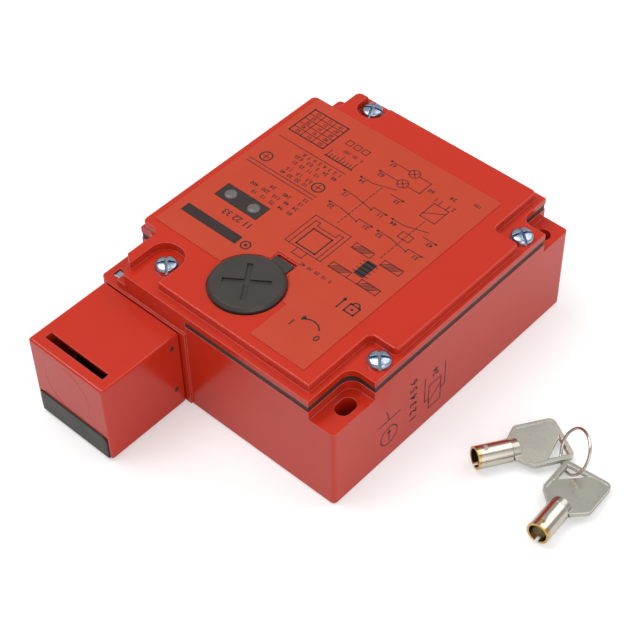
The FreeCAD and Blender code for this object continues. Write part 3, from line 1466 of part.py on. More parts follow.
def make_solenoid():
    """Bent yoke, bobbin, winding, fixed core, armature, bolt and its spring."""
    axis_at = lambda x: (x, BOLT_Y, "head_axis_height")
    half = "solenoid_width / 2"
    low, high = f"{BOLT_Y} - {half}", f"{BOLT_Y} + {half}"
    plate = block(
        "yoke_plate",
        ("solenoid_left", low, "base_thickness"),
        (SOLENOID_END, f"{high} + ear_length + 1", "base_thickness + yoke_thickness"),
    )
    top = "base_thickness + solenoid_height"
    near = block(
        "yoke_near",
        ("solenoid_left", low, "base_thickness"),
        ("solenoid_left + yoke_thickness", high, top),
    )
    far = block(
        "yoke_far",
        (f"{SOLENOID_END} - yoke_thickness", low, "base_thickness"),
        (SOLENOID_END, high, top),
    )
    near_hole = rod(
        "yoke_core_hole",
        axis_at("solenoid_left - 1"),
        "armature_radius - 1 + seat_play",
        "yoke_thickness + 2",
        ALONG_X,
    )
    far_hole = rod(
        "yoke_hole",
        axis_at(f"{SOLENOID_END} - yoke_thickness - 1"),
        "armature_radius + 0.15",
        "yoke_thickness + 2",
        ALONG_X,
    )
    holes = [
        rod(f"yoke_screw_hole_{index}", (x, y, "base_thickness - 1"), "small_screw_radius + fit_play", "5")
        for index, (x, y) in enumerate(base_screw_places()[2:4])
    ]
    yoke = carve("solenoid_yoke", join("yoke_solid", plate, near, far), near_hole, far_hole, *holes)

    start = "(solenoid_left + yoke_thickness)"
    length = f"({SOLENOID_END} - solenoid_left - 2 * yoke_thickness)"
    tube_radius = "(armature_radius + 0.15 + bobbin_wall)"
    tube = rod("bobbin_tube", axis_at(start), tube_radius, length, ALONG_X)
    first = rod("bobbin_first", axis_at(start), "coil_radius + 0.5", "bobbin_wall", ALONG_X)
    last_start = axis_at(f"{start} + {length} - bobbin_wall")
    last = rod("bobbin_last", last_start, "coil_radius + 0.5", "bobbin_wall", ALONG_X)
    bore = rod("bobbin_bore", axis_at(f"{start} - 1"), "armature_radius + 0.15", f"{length} + 2", ALONG_X)
    bobbin = carve("solenoid_bobbin", join("bobbin_solid", tube, first, last), bore)

    wound_start, wound = f"{start} + bobbin_wall", f"{length} - 2 * bobbin_wall"
    winding = rod("winding_solid", axis_at(wound_start), "coil_radius", wound, ALONG_X)
    hollow = rod("winding_bore", axis_at(f"{wound_start} - 1"), tube_radius, f"{wound} + 2", ALONG_X)
    coil_item = carve("solenoid_coil", winding, hollow)

    thick = rod("core_thick", axis_at(start), "armature_radius", "core_length", ALONG_X)
    rivet = rod(
        "core_rivet", axis_at("solenoid_left - 0.8"), "armature_radius - 1", "yoke_thickness + 1.3", ALONG_X
    )
    core_bore = rod(
        "core_bore", axis_at("solenoid_left - 2"), "push_pin_radius + fit_play", "core_length + 6", ALONG_X
    )
    core = carve("solenoid_core", join("core_solid", thick, rivet), core_bore)

    stem_length = f"{SOLENOID_END} + bolt_spring_length + 0.5 - {ARMATURE_START}"
    stem = rod("armature_stem", axis_at(ARMATURE_START), "armature_radius", stem_length, ALONG_X)
    collar = rod(
        "armature_collar",
        axis_at(f"{SOLENOID_END} + bolt_spring_length"),
        "armature_flange_radius",
        "1.2",
        ALONG_X,
    )
    armature = join("armature", stem, collar)

    # the tip waits just outside the collar's path, and drops beside the rod when pushed
    tip = f"({HEAD_X} + rod_radius + bolt_rod_gap + bolt_travel)"
    bolt = new_body("lock_bolt")
    plan = sketch_on(bolt, offset="head_axis_height - bolt_height / 2")
    near, far = f"{BOLT_Y} - bolt_width / 2", f"{BOLT_Y} + bolt_width / 2"
    outline(plan, rectangle(tip, near, BOLT_TAIL, far))
    bar = pad(bolt, plan, "bolt_height")
    soften(bolt, bar, upright_edges(bar.Shape, [(tip, near), (tip, far)]), "0.4", "Chamfer")
    pin = sketch_on(bolt, "YZ_Plane", f"{BOLT_TAIL} - 0.5")
    circle(pin, BOLT_Y, "head_axis_height", "push_pin_radius")
    pad(bolt, pin, f"{ARMATURE_START} - {BOLT_TAIL} + 0.45")

    guide_low = f"{HEAD_X} + bolt_guide_setback"
    guide = block(
        "guide_solid",
        (guide_low, f"{BOLT_Y} - bolt_guide_width / 2", "base_thickness"),
        (
            f"{guide_low} + bolt_guide_length",
            f"{BOLT_Y} + bolt_guide_width / 2",
            "head_axis_height + bolt_height / 2 + 2",
        ),
    )
    guide_slot = block(
        "guide_slot",
        (
            f"{guide_low} - 1",
            f"{BOLT_Y} - bolt_width / 2 - fit_play",
            "head_axis_height - bolt_height / 2 - fit_play",
        ),
        (
            f"{guide_low} + bolt_guide_length + 1",
            f"{BOLT_Y} + bolt_width / 2 + fit_play",
            "head_axis_height + bolt_height / 2 + fit_play",
        ),
    )
    bolt_guide = carve("bolt_guide", guide, guide_slot)

    spring = coil(
        "bolt_spring", "bolt_spring_radius", "bolt_spring_length", 5, axis_at(SOLENOID_END), ALONG_X
    )
    return [yoke, bobbin, coil_item, core, armature, bolt, bolt_guide, spring]


# ---------------------------------------------------------------- key lock and cap
LOCK_TOP = f"({COVER_TOP} - cap_seat_depth)"


def make_lock():
    """Lock barrel in the cover, its turning core, cam and fixing nut."""
    barrel = new_body("lock_barrel")
    section = sketch_on(barrel, "XZ_Plane", f"0 - {LOCK_Y}", shift=(LOCK_X, "0"))
    bore = "lock_core_radius + running_play"
    outline(
        section,
        [
            (bore, "lock_bottom"), ("lock_barrel_radius", "lock_bottom"),
            ("lock_barrel_radius", f"{LOCK_TOP} - lock_flange_thickness"),
            ("lock_flange_radius", f"{LOCK_TOP} - lock_flange_thickness"),
            ("lock_flange_radius", f"{LOCK_TOP} - step_play"),
            ("lock_flange_radius - step_play", LOCK_TOP), (bore, LOCK_TOP),
        ],
    )
    revolve(barrel, section)

    core = new_body("lock_core")
    low, high = "(lock_bottom - 0.2)", f"({LOCK_TOP} - 0.2)"
    section = sketch_on(core, "XZ_Plane", f"0 - {LOCK_Y}", shift=(LOCK_X, "0"))
    outline(
        section,
        [
            ("0", low), ("lock_core_radius", low), ("lock_core_radius", f"{high} - step_play"),
            ("lock_core_radius - step_play", high), ("keyway_outer_radius", high),
            ("keyway_outer_radius", f"{high} - keyway_depth"),
            ("keyway_inner_radius", f"{high} - keyway_depth"),
            ("keyway_inner_radius", high), ("0", high),
        ],
    )
    revolve(core, section)
    notch = sketch_on(core, offset=high, shift=(LOCK_X, LOCK_Y))
    outline(notch, rectangle("0 - 0.6", "keyway_inner_radius + 0.4", "0.6", "keyway_outer_radius + 1.1"))
    pocket(core, notch, "3")

    cam_low = "(lock_bottom - 0.2 - lock_cam_thickness)"
    disc = rod("lock_cam_disc", (LOCK_X, LOCK_Y, cam_low), "lock_core_radius - 0.6", "lock_cam_thickness")
    arm = block(
        "lock_cam_arm",
        (f"{LOCK_X} - lock_cam_reach", f"{LOCK_Y} - 2.2", cam_low),
        (LOCK_X, f"{LOCK_Y} + 2.2", "lock_bottom - 0.2"),
    )
    cam = join("lock_cam", disc, arm)

    nut = document.addObject("Part::Prism", "lock_nut_solid")
    nut.Polygon = 6
    bind(nut, "Circumradius", "lock_nut_radius")
    bind(nut, "Height", "lock_nut_thickness")
    place(nut, LOCK_X, LOCK_Y, f"{GASKET_TOP} - lock_nut_thickness")
    nut_bore = rod(
        "lock_nut_bore",
        (LOCK_X, LOCK_Y, f"{GASKET_TOP} - lock_nut_thickness - 1"),
        "lock_barrel_radius + seat_play",
        "lock_nut_thickness + 2",
    )
    return [barrel, core, cam, carve("lock_nut", nut, nut_bore)]


def make_cap():
    """Round cap over the lock: bevelled lid, crossed slots and a lifting tab."""
    body = new_body("lock_cap")
    section = sketch_on(body, "XZ_Plane", f"0 - {LOCK_Y}", shift=(LOCK_X, "0"))
    top = f"({LOCK_TOP} + cap_height)"
    inner = "lock_flange_radius + 0.4"
    outline(
        section,
        [
            ("0", f"{top} - cap_skin"), (inner, f"{top} - cap_skin"), (inner, LOCK_TOP),
            ("cap_radius - 0.25", LOCK_TOP), ("cap_radius", f"{LOCK_TOP} + 0.9"),
            ("cap_radius", f"{top} - 0.9"), ("cap_radius - 0.9", top), ("0", top),
        ],
    )
    revolve(body, section)
    tab = sketch_on(body, offset=LOCK_TOP)
    outline(
        tab,
        rectangle(
            f"{TAB_X} - cap_tab_width / 2",
            f"{LOCK_Y} + cap_radius - 0.9",
            f"{TAB_X} + cap_tab_width / 2",
            f"{LOCK_Y} + cap_tab_reach",
        ),
    )
    pad(body, tab, "cap_tab_thickness")
    cross = sketch_on(body, offset=top, shift=(LOCK_X, LOCK_Y), turn="cap_cross_angle")
    arm, web = "cap_cross_length / 2", "cap_cross_width / 2"
    outline(
        cross,
        [
            (web, f"0 - {arm}"), (web, f"0 - {web}"), (arm, f"0 - {web}"), (arm, web),
            (web, web), (web, arm), (f"0 - {web}", arm), (f"0 - {web}", web),
            (f"0 - {arm}", web), (f"0 - {arm}", f"0 - {web}"),
            (f"0 - {web}", f"0 - {web}"), (f"0 - {web}", f"0 - {arm}"),
        ],
    )
    pocket(body, cross, "cap_cross_depth")
    return body


# ---------------------------------------------------------------- wiring side
def make_wiring():
    """Terminal strip behind the cable entries and the small base screws."""
    left = "0 - terminal_block_left"
    front = f"{BACK} - terminal_block_setback"
    top = "base_thickness + terminal_block_height"
    body = new_body("terminal_block")
    plan = sketch_on(body, offset="base_thickness")
    right = f"{left} + terminal_block_length"
    outline(plan, rectangle(left, front, right, f"{front} + terminal_block_width"))
    pad(body, plan, "terminal_block_height")
    ear = sketch_on(body, offset="base_thickness")
    outline(ear, rectangle(left, f"{front} - ear_length", right, f"{front} + 1"))
    pad(body, ear, "ear_thickness")
    poles = 6
    pitch = f"(terminal_block_length / {poles})"
    middle = f"{front} + terminal_block_width / 2"
    wells = sketch_on(body, offset=top)
    mouths = sketch_on(body, "XZ_Plane", f"0 - ({front} + terminal_block_width)")
    spots = []
    for pole in range(poles):
        x = f"{left} + {pitch} * {pole + 0.5}"
        circle(wells, x, middle, "terminal_head_radius - 0.5")
        circle(mouths, x, f"{top} - 9", "1.5")
        spots.append((x, middle, f"{top} - 3.5"))
    pocket(body, wells, "3.5")
    pocket(body, mouths, "4", towards=1)
    holes = sketch_on(body, offset="base_thickness + ear_thickness")
    for x, y in base_screw_places()[4:6]:
        circle(holes, x, y, "small_screw_radius + fit_play")
    pocket(body, holes, "ear_thickness + 1")
    head = rod("clamp_screw_master", ("0", "0", "0"), "terminal_head_radius - 0.7", "2.5")
    slot = block("clamp_screw_slot", ("0 - 3", "0 - 0.35", "1.5"), ("3", "0.35", "3"))
    clamp = copies("block_clamp_screws", carve("clamp_screw", head, slot), spots)

    screw = make_screw(
        "base_screw_master",
        "small_screw_head_radius",
        "small_screw_head_height",
        "small_screw_radius",
        "4",
        "0.62",
    )
    seat = "base_thickness + ear_thickness"
    places = base_screw_places()
    base_screws = copies("base_screws", screw, [(x, y, seat) for x, y in places[:6]])
    earth_x, earth_y = places[6]
    earth_screw = copies("earth_screw", screw, [(earth_x, earth_y, seat)])
    washer = block(
        "clamp_square",
        (f"{earth_x} - 4", f"{earth_y} - 4", "base_thickness"),
        (f"{earth_x} + 4", f"{earth_y} + 4", seat),
    )
    washer_hole = rod(
        "clamp_hole", (earth_x, earth_y, "base_thickness - 1"), "small_screw_radius + fit_play", "5"
    )
    earth_clamp = carve("earth_clamp", washer, washer_hole)
    return [body, clamp, base_screws, earth_screw, earth_clamp]


# ---------------------------------------------------------------- loose keys
def key_shapes(side):
    """Return the tube and bow of a key that lies along +X; side puts its ring hole."""
    tube_radius, bore = number("key_tube_radius"), number("key_bore_radius")
    tube_length = number("key_tube_length")
    forward = Vector(1, 0, 0)
    tube = Part.makeCylinder(tube_radius, tube_length, Vector(), forward)
    nib_length, nib_width, nib_start = number("nib_length"), number("nib_width"), number("nib_start")
    nib = Part.makeBox(
        nib_length, nib_width, nib_width, Vector(nib_start, -nib_width / 2, tube_radius - nib_width / 3)
    )
    tube = tube.fuse(nib).cut(Part.makeCylinder(bore, tube_length + 2, Vector(-1, 0, 0), forward))
    slot_width = number("mouth_slot_width")
    below = Vector(-slot_width / 2, -slot_width / 2, -2 * tube_radius)
    slot = Part.makeBox(2 * slot_width, slot_width, 2 * tube_radius, below)
    tube = tube.cut(slot)

    thickness = number("key_bow_thickness")
    neck, half_neck = number("key_neck_length"), number("key_neck_width") / 2
    half, reach = number("key_bow_width") / 2, number("key_bow_length")
    start = tube_length + 0.3
    end = start + neck + reach
    points = [
        (start, -half_neck), (start + 0.6, -half_neck), (start + neck, -half), (end, -half),
        (end, half), (start + neck, half), (start + 0.6, half_neck), (start, half_neck),
    ]
    corners = [Vector(x, y, -thickness / 2) for x, y in points]
    plate = Part.Face(Part.makePolygon(corners + corners[:1])).extrude(Vector(0, 0, thickness))
    rounded = []
    for edge in plate.Edges:
        middle = edge.BoundBox.Center
        if edge.BoundBox.ZLength > thickness / 2 and middle.x > start + 1:
            rounded.append(edge)
    plate = plate.makeFillet(number("key_bow_radius"), rounded)
    margin, leg = number("key_hole_margin"), number("key_hole_leg")
    corner = Vector(end - margin, side * (half - margin), -thickness)
    hole = Part.makePolygon(
        [corner, corner + Vector(-leg, 0, 0), corner + Vector(0, -side * leg, 0), corner]
    )
    plate = plate.cut(Part.Face(hole).extrude(Vector(0, 0, 2 * thickness)))
    rim = []
    for edge in plate.Edges:
        middle = edge.BoundBox.Center
        inside = abs(middle.x - corner.x) < leg and abs(middle.y - corner.y) < leg
        if edge.BoundBox.ZLength < 1e-6 and inside and middle.x < corner.x + 1e-6:
            if side * middle.y < side * corner.y + 1e-6:
                rim.append(edge)
    plate = plate.makeChamfer(number("key_hole_bevel"), rim)
    border, inner_start = number("key_bow_border"), start + neck - 0.6
    low, high = -half + border, half - border
    chamfer = side * (half - margin - leg - border)
    panel = [
        (inner_start + border, low), (end - border, low), (end - border, high), (inner_start + border, high)
    ]
    cut_x = end - margin - leg - border
    if side < 0:
        panel[1:2] = [(cut_x, low), (end - border, -chamfer if chamfer < 0 else chamfer)]
        panel[2] = (end - border, low + leg + margin)
    else:
        panel[2:3] = [(end - border, high - leg - margin), (cut_x, high)]
    for level in (thickness / 2 - 0.3, -thickness / 2 - 0.7):
        spots = [Vector(x, y, level) for x, y in panel]
        plate = plate.cut(Part.Face(Part.makePolygon(spots + spots[:1])).extrude(Vector(0, 0, 1)))
    collar = Part.makeCylinder(tube_radius - 0.35, 2.2, Vector(start, 0, 0), forward)
    shank = Part.makeCylinder(bore - 0.02, 5.3, Vector(start - 5, 0, 0), forward)
    return tube, plate.fuse(collar).fuse(shank).removeSplitter(), end


def key_pose(prefix):
    """Return where a key lies: its tube on the ground, its bow just above it."""
    tube_radius = number("key_tube_radius")
    tube_length = number("key_tube_length")
    far = 0.3 + number("key_neck_length") + number("key_bow_length")
    drop = tube_radius - number("key_bow_thickness") / 2 - number("key_bow_rise")
    tilt = math.degrees(math.asin(drop / far))
    pivot = Vector(tube_length, 0, -tube_radius)
    lean = FreeCAD.Rotation(Vector(0, 1, 0), tilt)
    yaw = FreeCAD.Rotation(Vector(0, 0, 1), number(prefix + "_key_angle"))
    x = number(f"{RIGHT} + {prefix}_key_right")
    y = number(f"{FRONT} + {prefix}_key_setback")
    onto_ground = FreeCAD.Placement(pivot * -1, FreeCAD.Rotation())
    leaned = FreeCAD.Placement(Vector(tube_length, 0, 0), lean)
    laid = FreeCAD.Placement(Vector(x, y, 0), yaw)
    return laid * leaned * onto_ground


def make_keys():
    """Two tubular keys on one ring, lying beside the switch."""
    items, passes = [], []
    for name, prefix, side in (("a", "first", -1), ("b", "second", 1)):
        tube, bow, end = key_shapes(side)
        pose = key_pose(prefix)
        for label, shape in ((f"key_tube_{name}", tube), (f"key_bow_{name}", bow)):
            item = document.addObject("Part::Feature", label)
            item.Shape = shape
            item.Placement = pose
            items.append(item)
        margin = number("key_hole_margin")
        lateral = number("key_bow_width") / 2 - margin - number(prefix + "_ring_across")
        near = Vector(end - margin - number(prefix + "_ring_along"), side * lateral, 0)
        passes.append(pose.multVec(near))
    radius = number("ring_radius")
    middle = (passes[0] + passes[1]) * 0.5
    chord = passes[1] - passes[0]
    chord.z = 0
    lean = math.radians(number("ring_lean"))
    sideways = Vector(-chord.y, chord.x, 0).normalize()
    up = sideways * math.sin(lean) + Vector(0, 0, 1) * math.cos(lean)
    rise = math.sqrt(radius ** 2 - (chord.Length / 2) ** 2)
    centre = middle + up * rise
    normal = up.cross(chord)
    ring = document.addObject("Part::Torus", "key_ring")
    bind(ring, "Radius1", "ring_radius")
    bind(ring, "Radius2", "ring_wire_radius")
    ring.Placement = FreeCAD.Placement(centre, FreeCAD.Rotation(Vector(0, 0, 1), normal))
    items.append(ring)
    return items


def main():
    """Build every piece, check it and write one STEP file for each."""
    screw = make_screw(
        "cover_screw_master",
        "screw_head_radius",
        "screw_head_height",
        "screw_shank_radius",
        "screw_length",
        "0.66",
    )
    cover_screws = copies("cover_screws", screw, [(x, y, FLANGE_TOP) for x, y in SCREW_PLACES])
    pieces = [make_housing(), make_gasket(), make_cover(), cover_screws]
    pieces += make_trim()
    pieces += [make_head_casing(), make_head_plate()] + make_head_fittings()
    pieces += [make_cam(), make_push_rod(), make_contact_base()] + make_contacts()
    pieces += make_solenoid() + make_lock() + [make_cap()] + make_wiring() + make_keys()
    document.recompute()
    for item in document.Objects:
        if "Invalid" in item.State or "Error" in item.State:
            raise RuntimeError(f"{item.Label} failed: {item.State}")
    for piece in pieces:
        if piece.Shape.isNull() or not piece.Shape.isValid() or piece.Shape.Volume <= 0:
            raise RuntimeError(f"{piece.Label} has no valid solid")
    os.makedirs("parts", exist_ok=True)
    for piece in pieces:
        piece.Shape.exportStep(f"parts/{piece.Label}.step")
        print(f"{piece.Label}: {len(piece.Shape.Solids)} solids, {piece.Shape.Volume:.1f} mm3")


main()
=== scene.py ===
"""Dresses the tongue interlock switch: cast paint, printed film, plated screws and keys.

Every length is in metres in the part's own frame: +Z up from the mounting face, the
tongue head along -Y, the loose keys on the +X side.
"""
import logging
import math
from dataclasses import dataclass, field
from enum import Enum
from typing import Callable, Iterable, Sequence

import bmesh
import bpy
from mathutils import Matrix, Vector


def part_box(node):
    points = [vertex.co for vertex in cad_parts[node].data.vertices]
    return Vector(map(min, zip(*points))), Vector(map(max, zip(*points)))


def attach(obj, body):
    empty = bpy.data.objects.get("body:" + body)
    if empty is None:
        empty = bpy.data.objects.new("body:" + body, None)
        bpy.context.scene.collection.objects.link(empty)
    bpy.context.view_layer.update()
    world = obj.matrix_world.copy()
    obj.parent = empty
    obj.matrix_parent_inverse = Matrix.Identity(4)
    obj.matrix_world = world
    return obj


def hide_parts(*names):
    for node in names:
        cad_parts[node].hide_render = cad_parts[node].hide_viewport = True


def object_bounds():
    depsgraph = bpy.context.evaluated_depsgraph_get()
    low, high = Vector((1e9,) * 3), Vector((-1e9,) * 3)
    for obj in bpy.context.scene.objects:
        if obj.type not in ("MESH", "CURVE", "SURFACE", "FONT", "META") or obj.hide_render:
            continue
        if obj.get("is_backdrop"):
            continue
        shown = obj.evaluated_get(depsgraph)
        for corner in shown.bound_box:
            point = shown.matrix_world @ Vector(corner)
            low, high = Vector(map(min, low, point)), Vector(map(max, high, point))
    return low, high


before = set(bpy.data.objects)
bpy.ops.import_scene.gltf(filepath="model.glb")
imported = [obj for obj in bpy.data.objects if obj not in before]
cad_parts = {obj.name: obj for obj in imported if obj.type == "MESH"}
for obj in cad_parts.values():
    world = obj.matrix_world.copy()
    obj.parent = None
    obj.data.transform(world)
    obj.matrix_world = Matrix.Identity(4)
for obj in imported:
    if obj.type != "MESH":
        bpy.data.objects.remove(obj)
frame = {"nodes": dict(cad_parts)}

LOG = logging.getLogger("interlock_switch")
MM = 0.001
PLAIN_SCREW_HEAD = 2.5 * MM
Point = tuple[float, float]
Colour = tuple[float, float, float]


class Role(Enum):
    """The record's material slots for the scene's own pieces; nothing in the script assigns them."""

    PRINT = "black_plastic"
    CASTING = "red_casting"
    SCREW = "zinc_steel"


class Axis(Enum):
    """Which side of the housing a printed sheet lies on."""

    TOP = "top"
    RIGHT = "right"


# ------------------------------------------------------------------ finishes
@dataclass(frozen=True)
class Finish:
    """One procedural surface finish.

    Args:
        name: The material's name.
        colour: Linear base colour.
        roughness: Mean roughness of the base.
        metallic: 1 for bare or plated metal.
        grain: Features of the fine surface relief per metre.
        depth: Height of that relief in metres.
        mottle: Share by which the colour drifts over the surface.
        edge: Radius in metres over which edges are rounded in shading.
        wear: Share by which rounded edges turn lighter, a painted highlight along the edges that also
            stands for paint worn thin there.
    """

    name: str
    colour: Colour
    roughness: float
    metallic: float = 0.0
    grain: float = 900.0
    depth: float = 0.000004
    mottle: float = 0.05
    edge: float = 0.00025
    wear: float = 0.0

    def build(self) -> bpy.types.Material:
        """Return the material, made of nodes on the object's own coordinates."""
        material = bpy.data.materials.new(self.name)
        material.use_nodes = True
        tree = material.node_tree
        shader = tree.nodes["Principled BSDF"]
        shader.inputs["Metallic"].default_value = self.metallic
        place = tree.nodes.new("ShaderNodeTexCoord").outputs["Object"]
        tree.links.new(self.tone(tree, place), shader.inputs["Base Color"])
        tree.links.new(self.sheen(tree, place), shader.inputs["Roughness"])
        tree.links.new(self.relief(tree, place), shader.inputs["Normal"])
        return material

    def tone(self, tree: bpy.types.NodeTree, place: bpy.types.NodeSocket) -> bpy.types.NodeSocket:
        """Return the colour: a slow drift, and lighter edges, a painted highlight that also stands for
        paint worn thin there.

        Args:
            tree: The material's node tree.
            place: The coordinates that the drift follows.

        Returns:
            The colour socket.
        """
        drift = noise(tree, place, 45.0, 3.0)
        dark = tuple(value * (1.0 - self.mottle) for value in self.colour)
        light = tuple(min(1.0, value * (1.0 + self.mottle)) for value in self.colour)
        colour = blend_colours(tree, drift, dark, light)
        if self.wear <= 0.0:
            return colour
        # Painted highlight: rounded edges blend toward white, partly standing for paint worn thin on them.
        worn = tuple(value + (1.0 - value) * self.wear for value in self.colour)
        return blend_colours(tree, edge_mask(tree, self.edge * 1.6), colour, worn)

    def sheen(self, tree: bpy.types.NodeTree, place: bpy.types.NodeSocket) -> bpy.types.NodeSocket:
        """Return the roughness, which drifts a little over the surface."""
        spread = 0.12 * self.roughness
        return remap(tree, noise(tree, place, 130.0, 4.0), self.roughness - spread, self.roughness + spread)

    def relief(self, tree: bpy.types.NodeTree, place: bpy.types.NodeSocket) -> bpy.types.NodeSocket:
        """Return the shading normal: rounded edges under a fine relief."""
        bevel = tree.nodes.new("ShaderNodeBevel")
        bevel.samples = 6
        bevel.inputs["Radius"].default_value = self.edge
        bump = tree.nodes.new("ShaderNodeBump")
        bump.inputs["Strength"].default_value = 1.0
        bump.inputs["Distance"].default_value = self.depth
        tree.links.new(self.texture(tree, place), bump.inputs["Height"])
        tree.links.new(bevel.outputs["Normal"], bump.inputs["Normal"])
        return bump.outputs["Normal"]

    def texture(self, tree: bpy.types.NodeTree, place: bpy.types.NodeSocket) -> bpy.types.NodeSocket:
        """Return the height that the fine relief follows."""
        return noise(tree, place, self.grain, 2.0)


@dataclass(frozen=True)
class BrushedFinish(Finish):
    """Metal with fine scratches along one direction."""

    stretch: tuple[float, float, float] = (1.0, 1.0, 14.0)

    def texture(self, tree: bpy.types.NodeTree, place: bpy.types.NodeSocket) -> bpy.types.NodeSocket:
        """Return scratches: a noise drawn out along one axis."""
        mapping = tree.nodes.new("ShaderNodeMapping")
        mapping.inputs["Scale"].default_value = self.stretch
        tree.links.new(place, mapping.inputs["Vector"])
        return noise(tree, mapping.outputs["Vector"], self.grain, 3.0)


@dataclass(frozen=True)
class PlatedFinish(Finish):
    """Zinc plate, whose passivation drifts between a light and a deeper blue."""

    second: Colour = (0.36, 0.44, 0.56)

    def tone(self, tree: bpy.types.NodeTree, place: bpy.types.NodeSocket) -> bpy.types.NodeSocket:
        """Return the plate's drifting tint."""
        drift = remap(tree, noise(tree, place, 420.0, 2.0), -0.6, 1.6)
        return blend_colours(tree, drift, self.colour, self.second)


@dataclass(frozen=True)
class WornMouthFinish(Finish):
    """Nickel plate with the brass showing where a tube's mouth has worn.

    Args:
        along: Unit vector from the mouth into the tube.
        start: The mouth's place along that vector in metres.
        worn: Colour of the brass.
        reach: Depth in metres over which the plate has gone.
    """

    along: tuple[float, float, float] = (1.0, 0.0, 0.0)
    start: float = 0.0
    worn: Colour = (0.66, 0.42, 0.12)
    reach: float = 0.0018

    def tone(self, tree: bpy.types.NodeTree, place: bpy.types.NodeSocket) -> bpy.types.NodeSocket:
        """Return nickel that turns to brass near the mouth."""
        reached = tree.nodes.new("ShaderNodeVectorMath")
        reached.operation = "DOT_PRODUCT"
        reached.inputs[1].default_value = self.along
        tree.links.new(place, reached.inputs[0])
        inward = tree.nodes.new("ShaderNodeMath")
        inward.operation = "SUBTRACT"
        inward.inputs[1].default_value = self.start
        tree.links.new(reached.outputs["Value"], inward.inputs[0])
        ragged = remap(tree, noise(tree, place, 520.0, 2.0), -0.7 * self.reach, 1.1 * self.reach)
        depth = tree.nodes.new("ShaderNodeMath")
        depth.operation = "ADD"
        tree.links.new(inward.outputs["Value"], depth.inputs[0])
        tree.links.new(ragged, depth.inputs[1])
        share = tree.nodes.new("ShaderNodeMapRange")
        share.inputs["From Min"].default_value = 0.4 * self.reach
        share.inputs["From Max"].default_value = 1.3 * self.reach
        share.inputs["To Min"].default_value = 1.0
        share.inputs["To Max"].default_value = 0.0
        tree.links.new(depth.outputs["Value"], share.inputs["Value"])
        return blend_colours(tree, share.outputs["Result"], self.colour, self.worn)


def noise(
    tree: bpy.types.NodeTree, place: bpy.types.NodeSocket, scale: float, detail: float
) -> bpy.types.NodeSocket:
    """Return a noise value.

    Args:
        tree: The node tree.
        place: Coordinates in metres.
        scale: Features per metre.
        detail: Octaves of finer noise.

    Returns:
        The noise's factor socket.
    """
    node = tree.nodes.new("ShaderNodeTexNoise")
    node.inputs["Scale"].default_value = scale
    node.inputs["Detail"].default_value = detail
    tree.links.new(place, node.inputs["Vector"])
    return node.outputs["Fac"]


def remap(
    tree: bpy.types.NodeTree, value: bpy.types.NodeSocket, low: float, high: float
) -> bpy.types.NodeSocket:
    """Return a value spread from low to high over the middle of a noise's range."""
    node = tree.nodes.new("ShaderNodeMapRange")
    node.inputs["From Min"].default_value = 0.3
    node.inputs["From Max"].default_value = 0.7
    node.inputs["To Min"].default_value = low
    node.inputs["To Max"].default_value = high
    tree.links.new(value, node.inputs["Value"])
    return node.outputs["Result"]


def blend_colours(
    tree: bpy.types.NodeTree,
    share: bpy.types.NodeSocket,
    first: Colour | bpy.types.NodeSocket,
    second: Colour | bpy.types.NodeSocket,
) -> bpy.types.NodeSocket:
    """Return a mix of two colours.

    Args:
        tree: The node tree.
        share: How much of the second colour shows.
        first: A colour or a colour socket.
        second: A colour or a colour socket.

    Returns:
        The mixed colour's socket.
    """
    node = tree.nodes.new("ShaderNodeMix")
    node.data_type = "RGBA"
    tree.links.new(share, node.inputs["Factor"])
    for item, socket in ((first, node.inputs["A"]), (second, node.inputs["B"])):
        colour_socket = next(s for s in node.inputs if s.name == socket.name and s.type == "RGBA")
        if isinstance(item, tuple):
            colour_socket.default_value = (*item, 1.0)
        else:
            tree.links.new(item, colour_socket)
    return next(s for s in node.outputs if s.type == "RGBA")


def edge_mask(tree: bpy.types.NodeTree, radius: float) -> bpy.types.NodeSocket:
    """Return a value that is 1 on sharp edges and 0 on flats."""
    bevel = tree.nodes.new("ShaderNodeBevel")
    bevel.samples = 6
    bevel.inputs["Radius"].default_value = radius
    geometry = tree.nodes.new("ShaderNodeNewGeometry")
    product = tree.nodes.new("ShaderNodeVectorMath")
    product.operation = "DOT_PRODUCT"
    tree.links.new(bevel.outputs["Normal"], product.inputs[0])
    tree.links.new(geometry.outputs["True Normal"], product.inputs[1])
    spread = tree.nodes.new("ShaderNodeMapRange")
    spread.inputs["From Min"].default_value = 0.995
    spread.inputs["From Max"].default_value = 0.80
    tree.links.new(product.outputs["Value"], spread.inputs["Value"])
    return spread.outputs["Result"]


# Cast red paint; its lighter edges are a painted highlight, partly paint worn thin.
CAST_RED = Finish("cast_red", (0.52, 0.021, 0.004), 0.20, wear=0.10)
FILM_RED = Finish("film_red", (0.49, 0.043, 0.012), 0.34, grain=2600.0, depth=0.000001, edge=0.0001)
PRINT_BLACK = Finish("print_black", (0.020, 0.008, 0.007), 0.7, edge=0.00002)
SEAL = Finish("seal_rubber", (0.035, 0.018, 0.014), 0.6, grain=1400.0, depth=0.00001)
CAP_GREY = Finish("cap_grey", (0.034, 0.028, 0.023), 0.42, grain=2200.0, depth=0.000010, edge=0.0003)
MOULDED = Finish("moulded_black", (0.018, 0.013, 0.009), 0.36, grain=2200.0, depth=0.000008)
GLOSS_BLACK = Finish("window_black", (0.030, 0.022, 0.019), 0.22, edge=0.0002)
LENS_GREY = Finish("lens_grey", (0.13, 0.115, 0.11), 0.30, grain=3000.0, depth=0.00001)
BOARD = Finish("board_green", (0.02, 0.12, 0.05), 0.4)
LED = Finish("led_white", (0.8, 0.8, 0.75), 0.25)
ZINC = PlatedFinish("blue_zinc", (0.50, 0.58, 0.70), 0.24, metallic=1.0, edge=0.0002)
STEEL = BrushedFinish("turned_steel", (0.55, 0.55, 0.55), 0.32, metallic=1.0, grain=500.0)
DARK_PIN = Finish("dark_pin", (0.15, 0.045, 0.040), 0.38, metallic=0.6)
SPRING = Finish("spring_wire", (0.42, 0.42, 0.43), 0.3, metallic=1.0)
